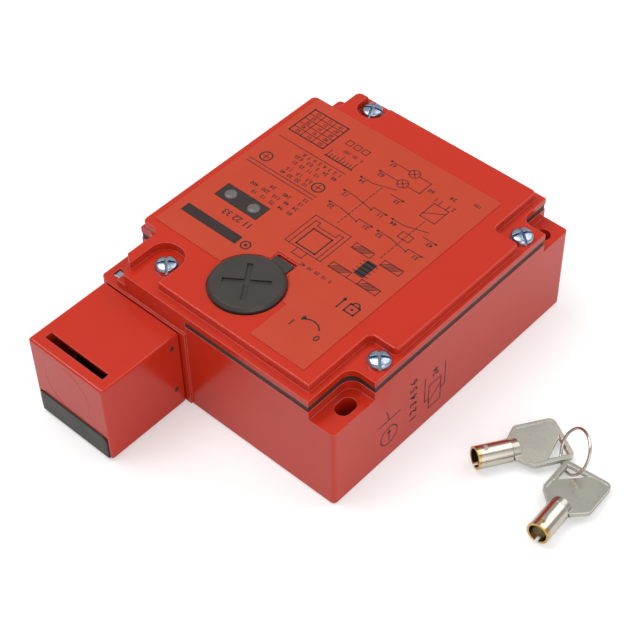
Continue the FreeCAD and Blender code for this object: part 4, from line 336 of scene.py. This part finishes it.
BRASS = BrushedFinish("turned_brass", (0.68, 0.46, 0.18), 0.3, metallic=1.0, grain=500.0)
SILVER = Finish("silver_contact", (0.78, 0.76, 0.70), 0.22, metallic=1.0)
PALE_PLASTIC = Finish("pale_plastic", (0.68, 0.65, 0.58), 0.45, grain=1800.0, depth=0.00001)
WINDING = BrushedFinish("copper_winding", (0.42, 0.16, 0.06), 0.35, metallic=0.6, stretch=(30.0, 1.0, 1.0))
# Nickel on the key bows; their edges are painted much lighter, a painted highlight along the borders.
NICKEL = BrushedFinish(
    "nickel_plate",
    (0.54, 0.52, 0.45),
    0.28,
    metallic=1.0,
    grain=420.0,
    depth=0.000003,
    edge=0.0002,
    wear=0.7,
)
RING_WIRE = Finish("ring_wire", (0.62, 0.59, 0.53), 0.22, metallic=1.0)


# ------------------------------------------------------------------ mesh helpers
def make_piece(name: str, mesh: bpy.types.Mesh, finish: Finish, body: str) -> bpy.types.Object:
    """Add a mesh to the scene as one piece.

    Args:
        name: The piece's name.
        mesh: Its mesh, in metres.
        finish: The surface it shows.
        body: The body it rides on.

    Returns:
        The new object.
    """
    piece = bpy.data.objects.new(name, mesh)
    bpy.context.scene.collection.objects.link(piece)
    mesh.materials.clear()
    mesh.materials.append(finish.build())
    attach(piece, body)
    LOG.info("%s: %d faces on %s", name, len(mesh.polygons), body)
    return piece


def smooth_by_angle(mesh: bpy.types.Mesh, degrees: float = 32.0) -> None:
    """Shade a mesh smooth except across edges sharper than an angle."""
    mesh.shade_smooth()
    mesh.set_sharp_from_angle(angle=math.radians(degrees))


def lathe(profile: Sequence[Point], steps: int = 64) -> bmesh.types.BMesh:
    """Return a turned form.

    Args:
        profile: Radius and height pairs from one end on the axis to the other.
        steps: Faces round the axis.

    Returns:
        A mesh turned about local Z.
    """
    form = bmesh.new()
    rings: list[list[bmesh.types.BMVert]] = []
    for radius, height in profile:
        count = 1 if radius < 1e-9 else steps
        ring = []
        for step in range(count):
            angle = 2.0 * math.pi * step / steps
            ring.append(form.verts.new((radius * math.cos(angle), radius * math.sin(angle), height)))
        rings.append(ring)
    for near, far in zip(rings, rings[1:]):
        for step in range(steps):
            after = (step + 1) % steps
            corners = [near[step % len(near)], near[after % len(near)]]
            corners += [far[after % len(far)], far[step % len(far)]]
            unique = list(dict.fromkeys(corners))
            if len(unique) > 2:
                form.faces.new(unique)
    bmesh.ops.recalc_face_normals(form, faces=form.faces)
    return form


def to_mesh(form: bmesh.types.BMesh, name: str) -> bpy.types.Mesh:
    """Return a mesh made of a bmesh, which is freed."""
    mesh = bpy.data.meshes.new(name)
    form.to_mesh(mesh)
    form.free()
    return mesh


def cut_with(solid: bpy.types.Mesh, tools: Iterable[bpy.types.Mesh]) -> bpy.types.Mesh:
    """Return a mesh less each of some closed meshes.

    Args:
        solid: The mesh to cut.
        tools: Closed meshes that are taken away.

    Returns:
        A new mesh.
    """
    scene = bpy.context.scene
    body = bpy.data.objects.new("cutting_body", solid)
    scene.collection.objects.link(body)
    helpers = []
    for index, tool in enumerate(tools):
        helper = bpy.data.objects.new(f"cutting_tool_{index}", tool)
        scene.collection.objects.link(helper)
        step = body.modifiers.new(f"cut_{index}", "BOOLEAN")
        step.operation = "DIFFERENCE"
        step.solver = "EXACT"
        step.object = helper
        helpers.append(helper)
    depsgraph = bpy.context.evaluated_depsgraph_get()
    result = bpy.data.meshes.new_from_object(body.evaluated_get(depsgraph), depsgraph=depsgraph)
    for item in (body, *helpers):
        bpy.data.objects.remove(item)
    return result


def prism(corners: Sequence[Point], low: float, high: float) -> bmesh.types.BMesh:
    """Return an upright prism over a closed outline."""
    form = bmesh.new()
    floor = [form.verts.new((x, y, low)) for x, y in corners]
    roof = [form.verts.new((x, y, high)) for x, y in corners]
    form.faces.new(floor[::-1])
    form.faces.new(roof)
    for index in range(len(corners)):
        after = (index + 1) % len(corners)
        form.faces.new((floor[index], floor[after], roof[after], roof[index]))
    bmesh.ops.recalc_face_normals(form, faces=form.faces)
    return form


# ------------------------------------------------------------------ printed marks
@dataclass
class PrintSheet:
    """Thin ink strokes on one flat face, drawn in millimetres on that face.

    Args:
        side: The face that the sheet lies on.
        level: The face's place along its normal, in metres.
        ink: Thickness of the ink in metres.
    """

    side: Axis
    level: float
    ink: float = 0.00003
    form: bmesh.types.BMesh = field(default_factory=bmesh.new)

    def spot(self, x: float, y: float, rise: float) -> Vector:
        """Return the place in the part's frame of a point on the sheet."""
        if self.side is Axis.TOP:
            return Vector((x * MM, y * MM, self.level + rise))
        return Vector((self.level + rise, x * MM, y * MM))

    def fill(self, corners: Sequence[Point]) -> None:
        """Add one inked patch with a closed outline."""
        low = [self.form.verts.new(self.spot(x, y, 0.000004)) for x, y in corners]
        high = [self.form.verts.new(self.spot(x, y, self.ink)) for x, y in corners]
        self.form.faces.new(high)
        for index in range(len(corners)):
            after = (index + 1) % len(corners)
            self.form.faces.new((low[index], low[after], high[after], high[index]))

    def line(self, points: Sequence[Point], width: float = 0.35, closed: bool = False) -> None:
        """Draw a run of straight strokes.

        Args:
            points: The run's corners in millimetres.
            width: The stroke's width in millimetres.
            closed: Whether the run returns to its start.
        """
        ends = list(points) + ([points[0]] if closed else [])
        for (x0, y0), (x1, y1) in zip(ends, ends[1:]):
            length = math.hypot(x1 - x0, y1 - y0)
            if length < 1e-9:
                continue
            along = ((x1 - x0) / length * width / 2, (y1 - y0) / length * width / 2)
            across = (-along[1], along[0])
            self.fill(
                [
                    (x0 - along[0] - across[0], y0 - along[1] - across[1]),
                    (x1 + along[0] - across[0], y1 + along[1] - across[1]),
                    (x1 + along[0] + across[0], y1 + along[1] + across[1]),
                    (x0 - along[0] + across[0], y0 - along[1] + across[1]),
                ]
            )

    def arc(self, x: float, y: float, radius: float, start: float, end: float, width: float = 0.35) -> None:
        """Draw an arc from one angle in degrees to another."""
        steps = max(6, int(abs(end - start) / 12))
        angles = [math.radians(start + (end - start) * step / steps) for step in range(steps + 1)]
        near, far = radius - width / 2, radius + width / 2
        inner = [(x + near * math.cos(a), y + near * math.sin(a)) for a in angles]
        outer = [(x + far * math.cos(a), y + far * math.sin(a)) for a in angles]
        for index in range(steps):
            self.fill([inner[index], outer[index], outer[index + 1], inner[index + 1]])

    def disc(self, x: float, y: float, radius: float) -> None:
        """Draw a filled dot."""
        angles = [2.0 * math.pi * step / 20 for step in range(20)]
        self.fill([(x + radius * math.cos(a), y + radius * math.sin(a)) for a in angles])

    def arrow(self, x: float, y: float, angle: float, size: float) -> None:
        """Draw a filled arrow head whose tip lies at a point."""
        tip = math.radians(angle)
        spread = [tip + math.radians(180.0 - 24.0), tip + math.radians(180.0 + 24.0)]
        corners = [(x + size * math.cos(a), y + size * math.sin(a)) for a in spread]
        self.fill([(x, y), *corners])

    def number(self, text: str, x: float, y: float, size: float, turn: float = 0.0) -> None:
        """Print digits, their left foot at a point.

        Args:
            text: The digits.
            x: Place across the sheet in millimetres.
            y: Place along the sheet in millimetres.
            size: Height of the digits in millimetres.
            turn: Angle of the line of digits in degrees.
        """
        curve = bpy.data.curves.new("digits", "FONT")
        curve.body = text
        curve.size = size * 1.38
        curve.resolution_u = 2
        curve.offset = size * 0.02
        holder = bpy.data.objects.new("digits", curve)
        bpy.context.scene.collection.objects.link(holder)
        depsgraph = bpy.context.evaluated_depsgraph_get()
        flat = bpy.data.meshes.new_from_object(holder.evaluated_get(depsgraph), depsgraph=depsgraph)
        bpy.data.objects.remove(holder)
        turned = Matrix.Rotation(math.radians(turn), 2)
        for polygon in flat.polygons:
            corners = []
            for index in polygon.vertices:
                shifted = turned @ flat.vertices[index].co.xy
                corners.append(self.form.verts.new(self.spot(x + shifted.x, y + shifted.y, self.ink)))
            self.form.faces.new(corners)
        bpy.data.meshes.remove(flat)

    def finish(self, name: str) -> bpy.types.Object:
        """Return the sheet as one piece on the switch."""
        bmesh.ops.remove_doubles(self.form, verts=self.form.verts, dist=1e-8)
        return make_piece(name, to_mesh(self.form, name), PRINT_BLACK, "root")


@dataclass
class CoverPrint:
    """The marks on the cover's film: contact symbols, wiring, ruled tables and numbers.

    The print reads from the cable side, so its digits stand turned by half a turn.

    Args:
        film_top: Height of the film's face in metres.
        thin: Width of a drawn line in millimetres.
        bold: Width of a heavy line in millimetres.
        small: Height of small digits in millimetres.
        medium: Height of the digits beside a symbol in millimetres.
        large: Height of the largest digits in millimetres.
        lamp_radius: Radius of a lamp symbol in millimetres.
    """

    film_top: float
    thin: float = 0.28
    bold: float = 0.50
    small: float = 1.35
    medium: float = 1.7
    large: float = 2.5
    lamp_radius: float = 1.9

    def label(self, sheet: PrintSheet, text: str, x: float, y: float, size: float) -> None:
        """Print digits that start at their right end and read towards -X."""
        sheet.number(text, x, y, size, 180.0)

    def dashes(self, sheet: PrintSheet, x: float, low: float, high: float) -> None:
        """Draw a dashed link along Y."""
        level = low
        while level < high - 0.7:
            sheet.line([(x, level), (x, min(level + 0.9, high))], self.thin)
            level += 1.7

    def contact(self, sheet: PrintSheet, x: float, y: float, opened: bool, names: tuple[int, int]) -> None:
        """Draw one switch contact along X with a terminal number at each end."""
        sheet.line([(x, y), (x + 5.0, y)], self.thin)
        sheet.line([(x + 12.6, y), (x + 18.0, y)], self.thin)
        sheet.line([(x + 5.0, y), (x + 12.9, y + (2.6 if opened else -1.4))], self.thin)
        if not opened:
            sheet.line([(x + 12.6, y), (x + 12.6, y - 1.9)], self.thin)
        sheet.arrow(x - 0.5, y, 180.0, 1.2)
        sheet.arrow(x + 18.5, y, 0.0, 1.2)
        self.label(sheet, str(names[0]), x + 3.0, y - 0.7, self.medium)
        self.label(sheet, str(names[1]), x + 17.6, y - 0.7, self.medium)

    def contacts(self, sheet: PrintSheet) -> None:
        """Draw two columns of contacts, each with the dashed link that moves it."""
        rows = ((12.4, False, (12, 11)), (5.4, False, (22, 21)), (20.6, True, (34, 33)))
        for y, opened, names in rows:
            self.contact(sheet, -9.8, y, opened, names)
        self.dashes(sheet, -1.2, -0.4, 21.6)
        for y, opened, names in ((12.4, True, (44, 43)), (5.4, False, (52, 51))):
            self.contact(sheet, 10.4, y, opened, names)
        self.dashes(sheet, 19.0, -3.2, 18.8)
        sheet.line([(16.8, 7.4), (21.2, 7.4), (21.2, 10.2), (16.8, 10.2)], self.thin, closed=True)

    def lamps(self, sheet: PrintSheet) -> None:
        """Draw two lamp symbols that share one lead."""
        for level, name in ((26.8, "62"), (32.8, "61")):
            sheet.arc(2.6, level, self.lamp_radius, 0.0, 360.0, self.thin)
            for turn in (45.0, 135.0):
                dx = self.lamp_radius * math.cos(math.radians(turn))
                dy = self.lamp_radius * math.sin(math.radians(turn))
                sheet.line([(2.6 - dx, level - dy), (2.6 + dx, level + dy)], self.thin)
            sheet.line([(-6.6, level), (0.7, level)], self.thin)
            sheet.line([(4.5, level), (9.6, level)], self.thin)
            sheet.disc(-6.9, level, 0.45)
            self.label(sheet, name, -4.2, level - 0.6, self.medium)
        sheet.line([(9.6, 26.8), (9.6, 32.8)], self.thin)
        self.label(sheet, "60", 13.0, 30.8, self.medium)

    def coil(self, sheet: PrintSheet) -> None:
        """Draw the magnet's coil with its two leads."""
        sheet.line([(16.0, 19.2), (22.0, 19.2), (22.0, 26.4), (16.0, 26.4)], self.thin, closed=True)
        sheet.line([(16.0, 20.8), (22.0, 24.8)], self.thin)
        for x in (17.4, 20.6):
            sheet.line([(x, 26.4), (x, 28.8)], self.thin)
        self.label(sheet, "1", 16.0, 28.8, self.medium)
        self.label(sheet, "2", 23.2, 28.8, self.medium)
        self.label(sheet, "24", 20.6, 32.6, self.medium)
        self.label(sheet, "100", 28.6, 35.0, self.small)

    def frame_view(self, sheet: PrintSheet) -> None:
        """Draw a plan of the switch body inside its guard frame."""
        sheet.line([(-8.6, -16.6), (6.2, -16.6), (6.2, -2.2), (-8.6, -2.2)], self.thin, closed=True)
        sheet.line([(-5.0, -15.4), (2.8, -15.4), (2.8, -7.2), (-5.0, -7.2)], self.bold, closed=True)
        inner = [(-6.9, -16.6), (-6.9, -4.0), (-5.0, -4.0), (-5.0, -5.6), (2.8, -5.6), (2.8, -4.0)]
        sheet.line(inner + [(4.6, -4.0), (4.6, -16.6)], self.thin)
        sheet.line([(-3.2, -16.6), (-3.2, -19.4), (0.8, -19.4), (0.8, -16.6)], self.thin)

    def hatch(self, sheet: PrintSheet, x0: float, x1: float, y0: float, y1: float) -> None:
        """Draw a hatched block."""
        sheet.line([(x0, y0), (x1, y0), (x1, y1), (x0, y1)], self.thin, closed=True)
        height, x = y1 - y0, x0
        while x < x1 - height:
            sheet.line([(x, y0), (x + height, y1)], self.thin)
            x += 0.85

    def tongue_view(self, sheet: PrintSheet) -> None:
        """Draw a section of the bolt between two hatched guards."""
        for y in (-5.6, -16.4):
            self.hatch(sheet, 9.2, 16.6, y, y + 2.6)
            self.hatch(sheet, 20.8, 28.2, y, y + 2.6)
        sheet.fill([(16.8, -13.4), (20.6, -13.4), (20.6, -6.4), (16.8, -6.4)])
        for step in range(4):
            level = -12.4 + 1.7 * step
            sheet.line([(15.8, level), (21.6, level)], self.thin)
        sheet.line([(16.8, -16.4), (20.6, -16.4)], self.thin)
        self.label(sheet, "0  10  20  30  40", 14.6, -20.4, self.small)

    def release(self, sheet: PrintSheet) -> None:
        """Draw a padlock, a turning arrow and the two key positions."""
        sheet.line([(25.0, -27.0), (25.0, -23.6), (28.6, -23.6), (28.6, -27.0)], self.bold, closed=True)
        sheet.arc(26.8, -23.6, 1.3, 0.0, 180.0, self.bold)
        sheet.disc(26.8, -25.3, 0.5)
        sheet.line([(22.4, -27.4), (22.4, -23.4)], self.bold)
        sheet.arrow(22.4, -22.2, 90.0, 1.7)
        sheet.arc(21.6, -40.6, 4.4, 35.0, 145.0, self.bold)
        sheet.arrow(17.6, -37.9, 236.0, 2.0)
        self.label(sheet, "1", 17.4, -39.6, self.large)
        self.label(sheet, "0", 27.4, -39.6, self.large)

    def table(self, sheet: PrintSheet) -> None:
        """Draw a ruled table of plain numbers."""
        left, right, low, high = -43.0, -28.0, 22.4, 35.4
        rows, columns = 5, 3
        sheet.line([(left, low), (right, low), (right, high), (left, high)], self.bold, closed=True)
        for row in range(1, rows):
            level = low + (high - low) * row / rows
            sheet.line([(left, level), (right, level)], self.thin)
        for column in range(1, columns):
            x = left + (right - left) * column / columns
            sheet.line([(x, low), (x, high)], self.thin)
        for row in range(rows):
            for column in range(columns):
                x = right - 1.2 - (right - left) * column / columns
                y = high - 0.7 - (high - low) * row / rows
                self.label(sheet, str(10 * (row + 1) + column), x, y, self.small)

    def scales(self, sheet: PrintSheet) -> None:
        """Draw two crossed rounds, a ruler and a row of small squares."""
        for x, y in ((-16.6, 7.6), (-39.4, 7.6)):
            sheet.arc(x, y, 2.1, 0.0, 360.0, self.bold)
            sheet.line([(x - 1.3, y), (x + 1.3, y)], self.thin)
            sheet.line([(x, y - 1.3), (x, y + 1.3)], self.thin)
        sheet.line([(-25.6, 20.8), (-14.0, 20.8)], self.bold)
        for step in range(9):
            x = -25.2 + 1.35 * step
            sheet.line([(x, 20.8), (x, 24.2 if step % 4 == 0 else 22.8)], self.thin)
        self.label(sheet, "0   50  100", -13.8, 26.8, self.small)
        for x in (-24.0, -20.6, -17.2):
            sheet.line([(x, 29.2), (x + 2.2, 29.2), (x + 2.2, 31.4), (x, 31.4)], self.thin, closed=True)

    def ratings(self, sheet: PrintSheet) -> None:
        """Print rows of plain numbers between thin rules."""
        for level in (18.0, 3.9, 2.3):
            sheet.line([(-43.2, level), (-14.0, level)], self.thin)
        rows = (
            ("1  2  3  4  5  6  7  8", -14.4, 16.9),
            ("48   24   3   0.5   0.25", -14.4, 14.6),
            ("12  11  22  21", -19.6, 12.0),
            ("0.5   1.0   1.5", -19.6, 8.6),
            ("10  20  30  40", -19.6, 6.4),
            ("13", -14.4, 1.2),
            ("15      240      24", -14.4, -1.2),
            ("24   48   110   230   400", -14.4, -3.8),
            ("60   94   75   12   18", -14.4, -6.6),
        )
        for row, right, level in rows:
            self.label(sheet, row, right, level, 1.5)
        self.label(sheet, "11 22 33", -20.0, -18.6, self.large)

    def bar(self, sheet: PrintSheet) -> None:
        """Draw a plain dark bar with a ring beside it."""
        sheet.fill([(-42.8, -28.4), (-19.0, -28.4), (-19.0, -24.6), (-42.8, -24.6)])
        sheet.arc(-16.0, -26.5, 1.6, 0.0, 360.0, self.bold)
        sheet.disc(-16.0, -26.5, 0.6)

    def build(self) -> bpy.types.Object:
        """Return the film's print."""
        sheet = PrintSheet(Axis.TOP, self.film_top)
        steps: tuple[Callable[[PrintSheet], None], ...] = (
            self.contacts,
            self.lamps,
            self.coil,
            self.frame_view,
            self.tongue_view,
            self.release,
            self.table,
            self.scales,
            self.ratings,
            self.bar,
        )
        for step in steps:
            step(sheet)
        return sheet.finish("cover_print")


@dataclass
class WallPrint:
    """The marks on the housing's right wall: a coil symbol, its leads and an arrow."""

    wall: float
    line: float = 0.35

    def build(self) -> bpy.types.Object:
        """Return the wall's print."""
        sheet = PrintSheet(Axis.RIGHT, self.wall)
        sheet.line([(-14.6, 6.4), (-8.8, 6.4), (-8.8, 17.0), (-14.6, 17.0)], self.line, closed=True)
        sheet.line([(-14.6, 9.0), (-8.8, 14.4)], self.line)
        for side, foot in ((-16.6, 11.0), (-6.8, 11.6)):
            middle = -14.6 if side < -12.0 else -8.8
            sheet.line([(middle, foot), (side, foot), (side, 22.0)], self.line)
        sheet.number("24", -10.4, 19.6, 2.6, 90.0)
        sheet.number("1 2 3 4 5 6", -20.6, 7.0, 3.2, 90.0)
        sheet.arc(-33.4, 10.6, 3.8, 0.0, 360.0, self.line)
        sheet.line([(-33.4, 8.2), (-33.4, 12.0)], self.line)
        sheet.arrow(-33.4, 13.4, 90.0, 2.0)
        sheet.line([(-38.4, 18.0), (-28.4, 18.0)], self.line)
        sheet.line([(-33.4, 18.0), (-34.6, 22.6)], self.line)
        return sheet.finish("wall_print")


# ------------------------------------------------------------------ screws
@dataclass
class CoverScrews:
    """The four pan-head screws, each with two crossed driver slots."""

    flange_top: float
    head_radius: float = 3.65 * MM
    head_height: float = 2.45 * MM
    shank_radius: float = 1.95 * MM
    length: float = 13.0 * MM
    slot_width: float = 0.90 * MM
    slot_floor: float = 0.14
    places: tuple[tuple[float, float, float], ...] = (
        (44.5 * MM, -33.2 * MM, 43.0),
        (44.5 * MM, 35.0 * MM, 58.0),
        (-30.1 * MM, 49.7 * MM, 22.0),
        (-30.1 * MM, -47.2 * MM, 46.0),
    )

    def head_profile(self) -> list[Point]:
        """Return the turned outline: a shank, a flat seat and a low crown."""
        radius, height = self.head_radius, self.head_height
        points = [(0.0, -self.length), (self.shank_radius, -self.length), (self.shank_radius, 0.0)]
        points += [(radius - 0.12 * MM, 0.0), (radius, 0.12 * MM), (radius, height * 0.34)]
        for step in range(1, 8):
            turned = math.radians(90.0 * step / 8)
            inset, rise = 1.3 * MM * (1 - math.cos(turned)), 0.34 + 0.5 * math.sin(turned)
            points.append((radius - inset, height * rise))
        points += [(radius * 0.42, height * 0.97), (0.0, height)]
        return points

    def recess_tools(self) -> list[bpy.types.Mesh]:
        """Return the shapes that cut the crossed slots, both open at the rim."""
        reach, half = self.head_radius * 1.2, self.slot_width / 2
        floor, roof = self.head_height * self.slot_floor, self.head_height * 1.3
        bars = [
            [(-reach, -half), (reach, -half), (reach, half), (-reach, half)],
            [(-half, -reach), (half, -reach), (half, reach), (-half, reach)],
        ]
        return [to_mesh(prism(bar, floor, roof), "screw_slot") for bar in bars]

    def build(self) -> bpy.types.Object:
        """Return the four screws as one piece in place of the plain ones."""
        single = cut_with(to_mesh(lathe(self.head_profile(), 48), "screw"), self.recess_tools())
        group = bmesh.new()
        for x, y, turn in self.places:
            copy = single.copy()
            spin = Matrix.Rotation(math.radians(turn), 4, "Z")
            copy.transform(Matrix.Translation((x, y, self.flange_top)) @ spin)
            group.from_mesh(copy)
            bpy.data.meshes.remove(copy)
        mesh = to_mesh(group, "cover_screw_set")
        smooth_by_angle(mesh)
        piece = make_piece("cover_screw_set", mesh, ZINC, "root")
        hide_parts("cover_screws")
        return piece


# ------------------------------------------------------------------ head details
@dataclass
class HeadMarks:
    """The faint ring line on the head's end face."""

    front: float
    centre_x: float = -31.0 * MM
    centre_z: float = 20.5 * MM
    radius: float = 9.6 * MM
    line: float = 0.20 * MM
    rise: float = 0.08 * MM

    def build(self) -> bpy.types.Object:
        """Return the raised ring line."""
        form = bmesh.new()
        steps = 96
        rows: list[list[bmesh.types.BMVert]] = []
        for shift, lift in ((-1.0, -0.01 * MM), (-0.5, self.rise), (0.5, self.rise), (1.0, -0.01 * MM)):
            row = []
            for step in range(steps):
                angle = 2.0 * math.pi * step / steps
                radius = self.radius + shift * self.line
                place = (
                    self.centre_x + radius * math.cos(angle),
                    self.front - lift,
                    self.centre_z + radius * math.sin(angle),
                )
                row.append(form.verts.new(place))
            rows.append(row)
        for near, far in zip(rows, rows[1:]):
            for step in range(steps):
                after = (step + 1) % steps
                form.faces.new((near[step], near[after], far[after], far[step]))
        bmesh.ops.recalc_face_normals(form, faces=form.faces)
        mesh = to_mesh(form, "head_ring_line")
        mesh.shade_smooth()
        return make_piece("head_ring_line", mesh, CAST_RED, "head")


# ------------------------------------------------------------------ stage
@dataclass(frozen=True)
class Lamp:
    """One soft panel light.

    Args:
        name: The lamp's name.
        azimuth: Compass angle of the lamp about +Z, in degrees from -Y towards +X.
        height: Angle above the floor in degrees.
        distance: Metres from the middle of the object.
        size: Side of the panel in metres.
        power: Watts.
    """

    name: str
    azimuth: float
    height: float
    distance: float
    size: float
    power: float

    def build(self, middle: Vector) -> None:
        """Add the lamp, turned towards the object."""
        data = bpy.data.lights.new(self.name, "AREA")
        data.shape = "SQUARE"
        data.size = self.size
        data.energy = self.power
        lamp = bpy.data.objects.new(self.name, data)
        turn, rise = math.radians(self.azimuth), math.radians(self.height)
        away = Vector((math.sin(turn) * math.cos(rise), -math.cos(turn) * math.cos(rise), math.sin(rise)))
        lamp.location = middle + away * self.distance
        lamp.rotation_euler = away.to_track_quat("Z", "Y").to_euler()
        bpy.context.scene.collection.objects.link(lamp)


@dataclass
class Studio:
    """Floor, world, lamps and camera."""

    middle: Vector
    camera_place: tuple[float, float, float] = (0.24787, -0.27569, 0.40460)
    camera_azimuth: float = 43.08
    camera_height: float = 47.51
    camera_roll: float = -1.264
    lens: float = 92.69
    world_level: float = 0.45
    floor_level: float = 0.70
    floor_glow: float = 0.12
    floor_white: float = 0.26
    lamps: tuple[Lamp, ...] = (
        Lamp("key_panel", -64.0, 64.0, 0.9, 0.6, 4.2),
        Lamp("front_panel", 62.0, 30.0, 1.0, 0.9, 3.3),
        Lamp("back_panel", 160.0, 50.0, 1.0, 0.8, 2.8),
    )

    def floor(self) -> None:
        """Add the plain pale floor, with a little more glow where the camera sees it."""
        form = bmesh.new()
        reach, level = 3.0, -0.2 * MM
        corners = ((-reach, -reach), (reach, -reach), (reach, reach), (-reach, reach))
        form.faces.new([form.verts.new((x, y, level)) for x, y in corners])
        plane = bpy.data.objects.new("floor", to_mesh(form, "floor"))
        bpy.context.scene.collection.objects.link(plane)
        material = bpy.data.materials.new("pale_floor")
        material.use_nodes = True
        tree = material.node_tree
        shader = tree.nodes["Principled BSDF"]
        grey = (self.floor_level,) * 3
        shader.inputs["Base Color"].default_value = (*grey, 1.0)
        shader.inputs["Roughness"].default_value = 0.7
        shader.inputs["Emission Color"].default_value = (1.0, 1.0, 1.0, 1.0)
        rays = tree.nodes.new("ShaderNodeLightPath")
        glow = tree.nodes.new("ShaderNodeMath")
        glow.operation = "MULTIPLY_ADD"
        glow.inputs[1].default_value = self.floor_white
        glow.inputs[2].default_value = self.floor_glow
        tree.links.new(rays.outputs["Is Camera Ray"], glow.inputs[0])
        tree.links.new(glow.outputs["Value"], shader.inputs["Emission Strength"])
        plane.data.materials.append(material)
        plane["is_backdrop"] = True

    def world(self) -> None:
        """Light the scene evenly, and show white behind it."""
        world = bpy.data.worlds.new("studio")
        world.use_nodes = True
        bpy.context.scene.world = world
        tree = world.node_tree
        background = tree.nodes["Background"]
        background.inputs["Color"].default_value = (1.0, 1.0, 1.0, 1.0)
        rays = tree.nodes.new("ShaderNodeLightPath")
        seen = tree.nodes.new("ShaderNodeMath")
        seen.operation = "MAXIMUM"
        tree.links.new(rays.outputs["Is Camera Ray"], seen.inputs[0])
        tree.links.new(rays.outputs["Is Transmission Ray"], seen.inputs[1])
        level = tree.nodes.new("ShaderNodeMapRange")
        level.inputs["To Min"].default_value = self.world_level
        level.inputs["To Max"].default_value = 1.0
        tree.links.new(seen.outputs["Value"], level.inputs["Value"])
        tree.links.new(level.outputs["Result"], background.inputs["Strength"])

    def camera(self) -> None:
        """Add the camera at its height, turn and small roll."""
        data = bpy.data.cameras.new("camera")
        data.lens = self.lens
        data.sensor_width = 36.0
        data.clip_start = 0.01
        camera = bpy.data.objects.new("camera", data)
        turn, drop = math.radians(self.camera_azimuth), math.radians(self.camera_height)
        right = Vector((math.cos(turn), math.sin(turn), 0.0))
        ahead = Vector((-math.sin(turn) * math.cos(drop), math.cos(turn) * math.cos(drop), -math.sin(drop)))
        up = right.cross(ahead)
        roll = math.radians(self.camera_roll)
        cosine, sine = math.cos(roll), math.sin(roll)
        right, up = right * cosine + up * sine, up * cosine - right * sine
        basis = Matrix((right, up, -ahead)).transposed()
        camera.matrix_world = Matrix.Translation(self.camera_place) @ basis.to_4x4()
        bpy.context.scene.collection.objects.link(camera)
        bpy.context.scene.camera = camera

    def build(self) -> None:
        """Set the stage."""
        bpy.context.scene.view_settings.view_transform = "Standard"
        self.floor()
        self.world()
        self.camera()
        for lamp in self.lamps:
            lamp.build(self.middle)


# ------------------------------------------------------------------ the part
@dataclass
class Switch:
    """The whole switch: finishes for the solids, and the pieces added to them."""

    nodes: dict[str, bpy.types.Object]

    def finishes(self) -> dict[str, Finish]:
        """Return the finish of each solid."""
        by_finish: list[tuple[Finish, str]] = [
            (CAST_RED, "housing cover head_casing"),
            (FILM_RED, "label_film"),
            (SEAL, "cover_gasket head_seal"),
            (CAP_GREY, "lock_cap"),
            (MOULDED, "head_plug contact_base terminal_block"),
            (GLOSS_BLACK, "display_window"),
            (LENS_GREY, "display_lenses"),
            (BOARD, "display_board"),
            (LED, "display_leds"),
            (ZINC, "corner_plug cover_screws base_screws contact_terminal_screws block_clamp_screws"),
            (ZINC, "earth_clamp solenoid_yoke bolt_guide lock_nut head_back_plate"),
            (DARK_PIN, "head_pins"),
            (STEEL, "cam_axle actuator_cam push_rod lock_barrel lock_core lock_cam"),
            (STEEL, "lock_bolt armature solenoid_core"),
            (SPRING, "bridge_springs return_spring bolt_spring"),
            (BRASS, "head_bush head_bush_nut earth_screw"),
            (SILVER, "fixed_contacts contact_bridges"),
            (PALE_PLASTIC, "contact_carrier solenoid_bobbin"),
            (WINDING, "solenoid_coil"),
            (NICKEL, "key_bow_a key_bow_b"),
            (RING_WIRE, "key_ring"),
        ]
        by_finish += [(self.tube_finish(key), f"key_tube_{key}") for key in "ab"]
        return {node: finish for finish, names in by_finish for node in names.split()}

    def corners(self, node: str) -> list[Vector]:
        """Return a solid's vertices in the part's frame."""
        solid = self.nodes[node]
        return [solid.matrix_world @ vertex.co for vertex in solid.data.vertices]

    def tube_finish(self, key: str) -> WornMouthFinish:
        """Return the finish of one key's tube, worn at the end away from its bow.

        Args:
            key: The key's letter.

        Returns:
            A finish that knows where the mouth lies.
        """
        tube, bow = self.corners(f"key_tube_{key}"), self.corners(f"key_bow_{key}")
        middles = [sum(points, Vector()) / len(points) for points in (tube, bow)]
        along = (middles[1] - middles[0]).normalized()
        return WornMouthFinish(
            f"nickel_tube_{key}",
            (0.66, 0.62, 0.54),
            0.18,
            metallic=1.0,
            edge=0.00012,
            along=tuple(along),
            start=min(point.dot(along) for point in tube),
        )

    def dress(self) -> None:
        """Give each solid its finish."""
        made: dict[str, bpy.types.Material] = {}
        for node, finish in self.finishes().items():
            if finish.name not in made:
                made[finish.name] = finish.build()
            slots = self.nodes[node].material_slots
            if not slots:
                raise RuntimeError(f"{node} has no material slot")
            for slot in slots:
                slot.material = made[finish.name]
            LOG.info("%s: %s", node, finish.name)

    def build(self) -> None:
        """Dress the solids and add the scene's own pieces."""
        self.dress()
        film_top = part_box("label_film")[1][2]
        CoverPrint(film_top).build()
        WallPrint(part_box("housing")[1][0]).build()
        HeadMarks(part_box("head_casing")[0][1]).build()
        CoverScrews(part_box("cover_screws")[1][2] - PLAIN_SCREW_HEAD).build()


def main() -> None:
    """Build the scene."""
    logging.basicConfig(level=logging.INFO, format="%(name)s: %(message)s")
    before = [list(corner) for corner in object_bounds()]
    low, high = (Vector(corner) for corner in before)
    Switch(frame["nodes"]).build()
    Studio((low + high) / 2).build()


if __name__ == "__main__":
    main()
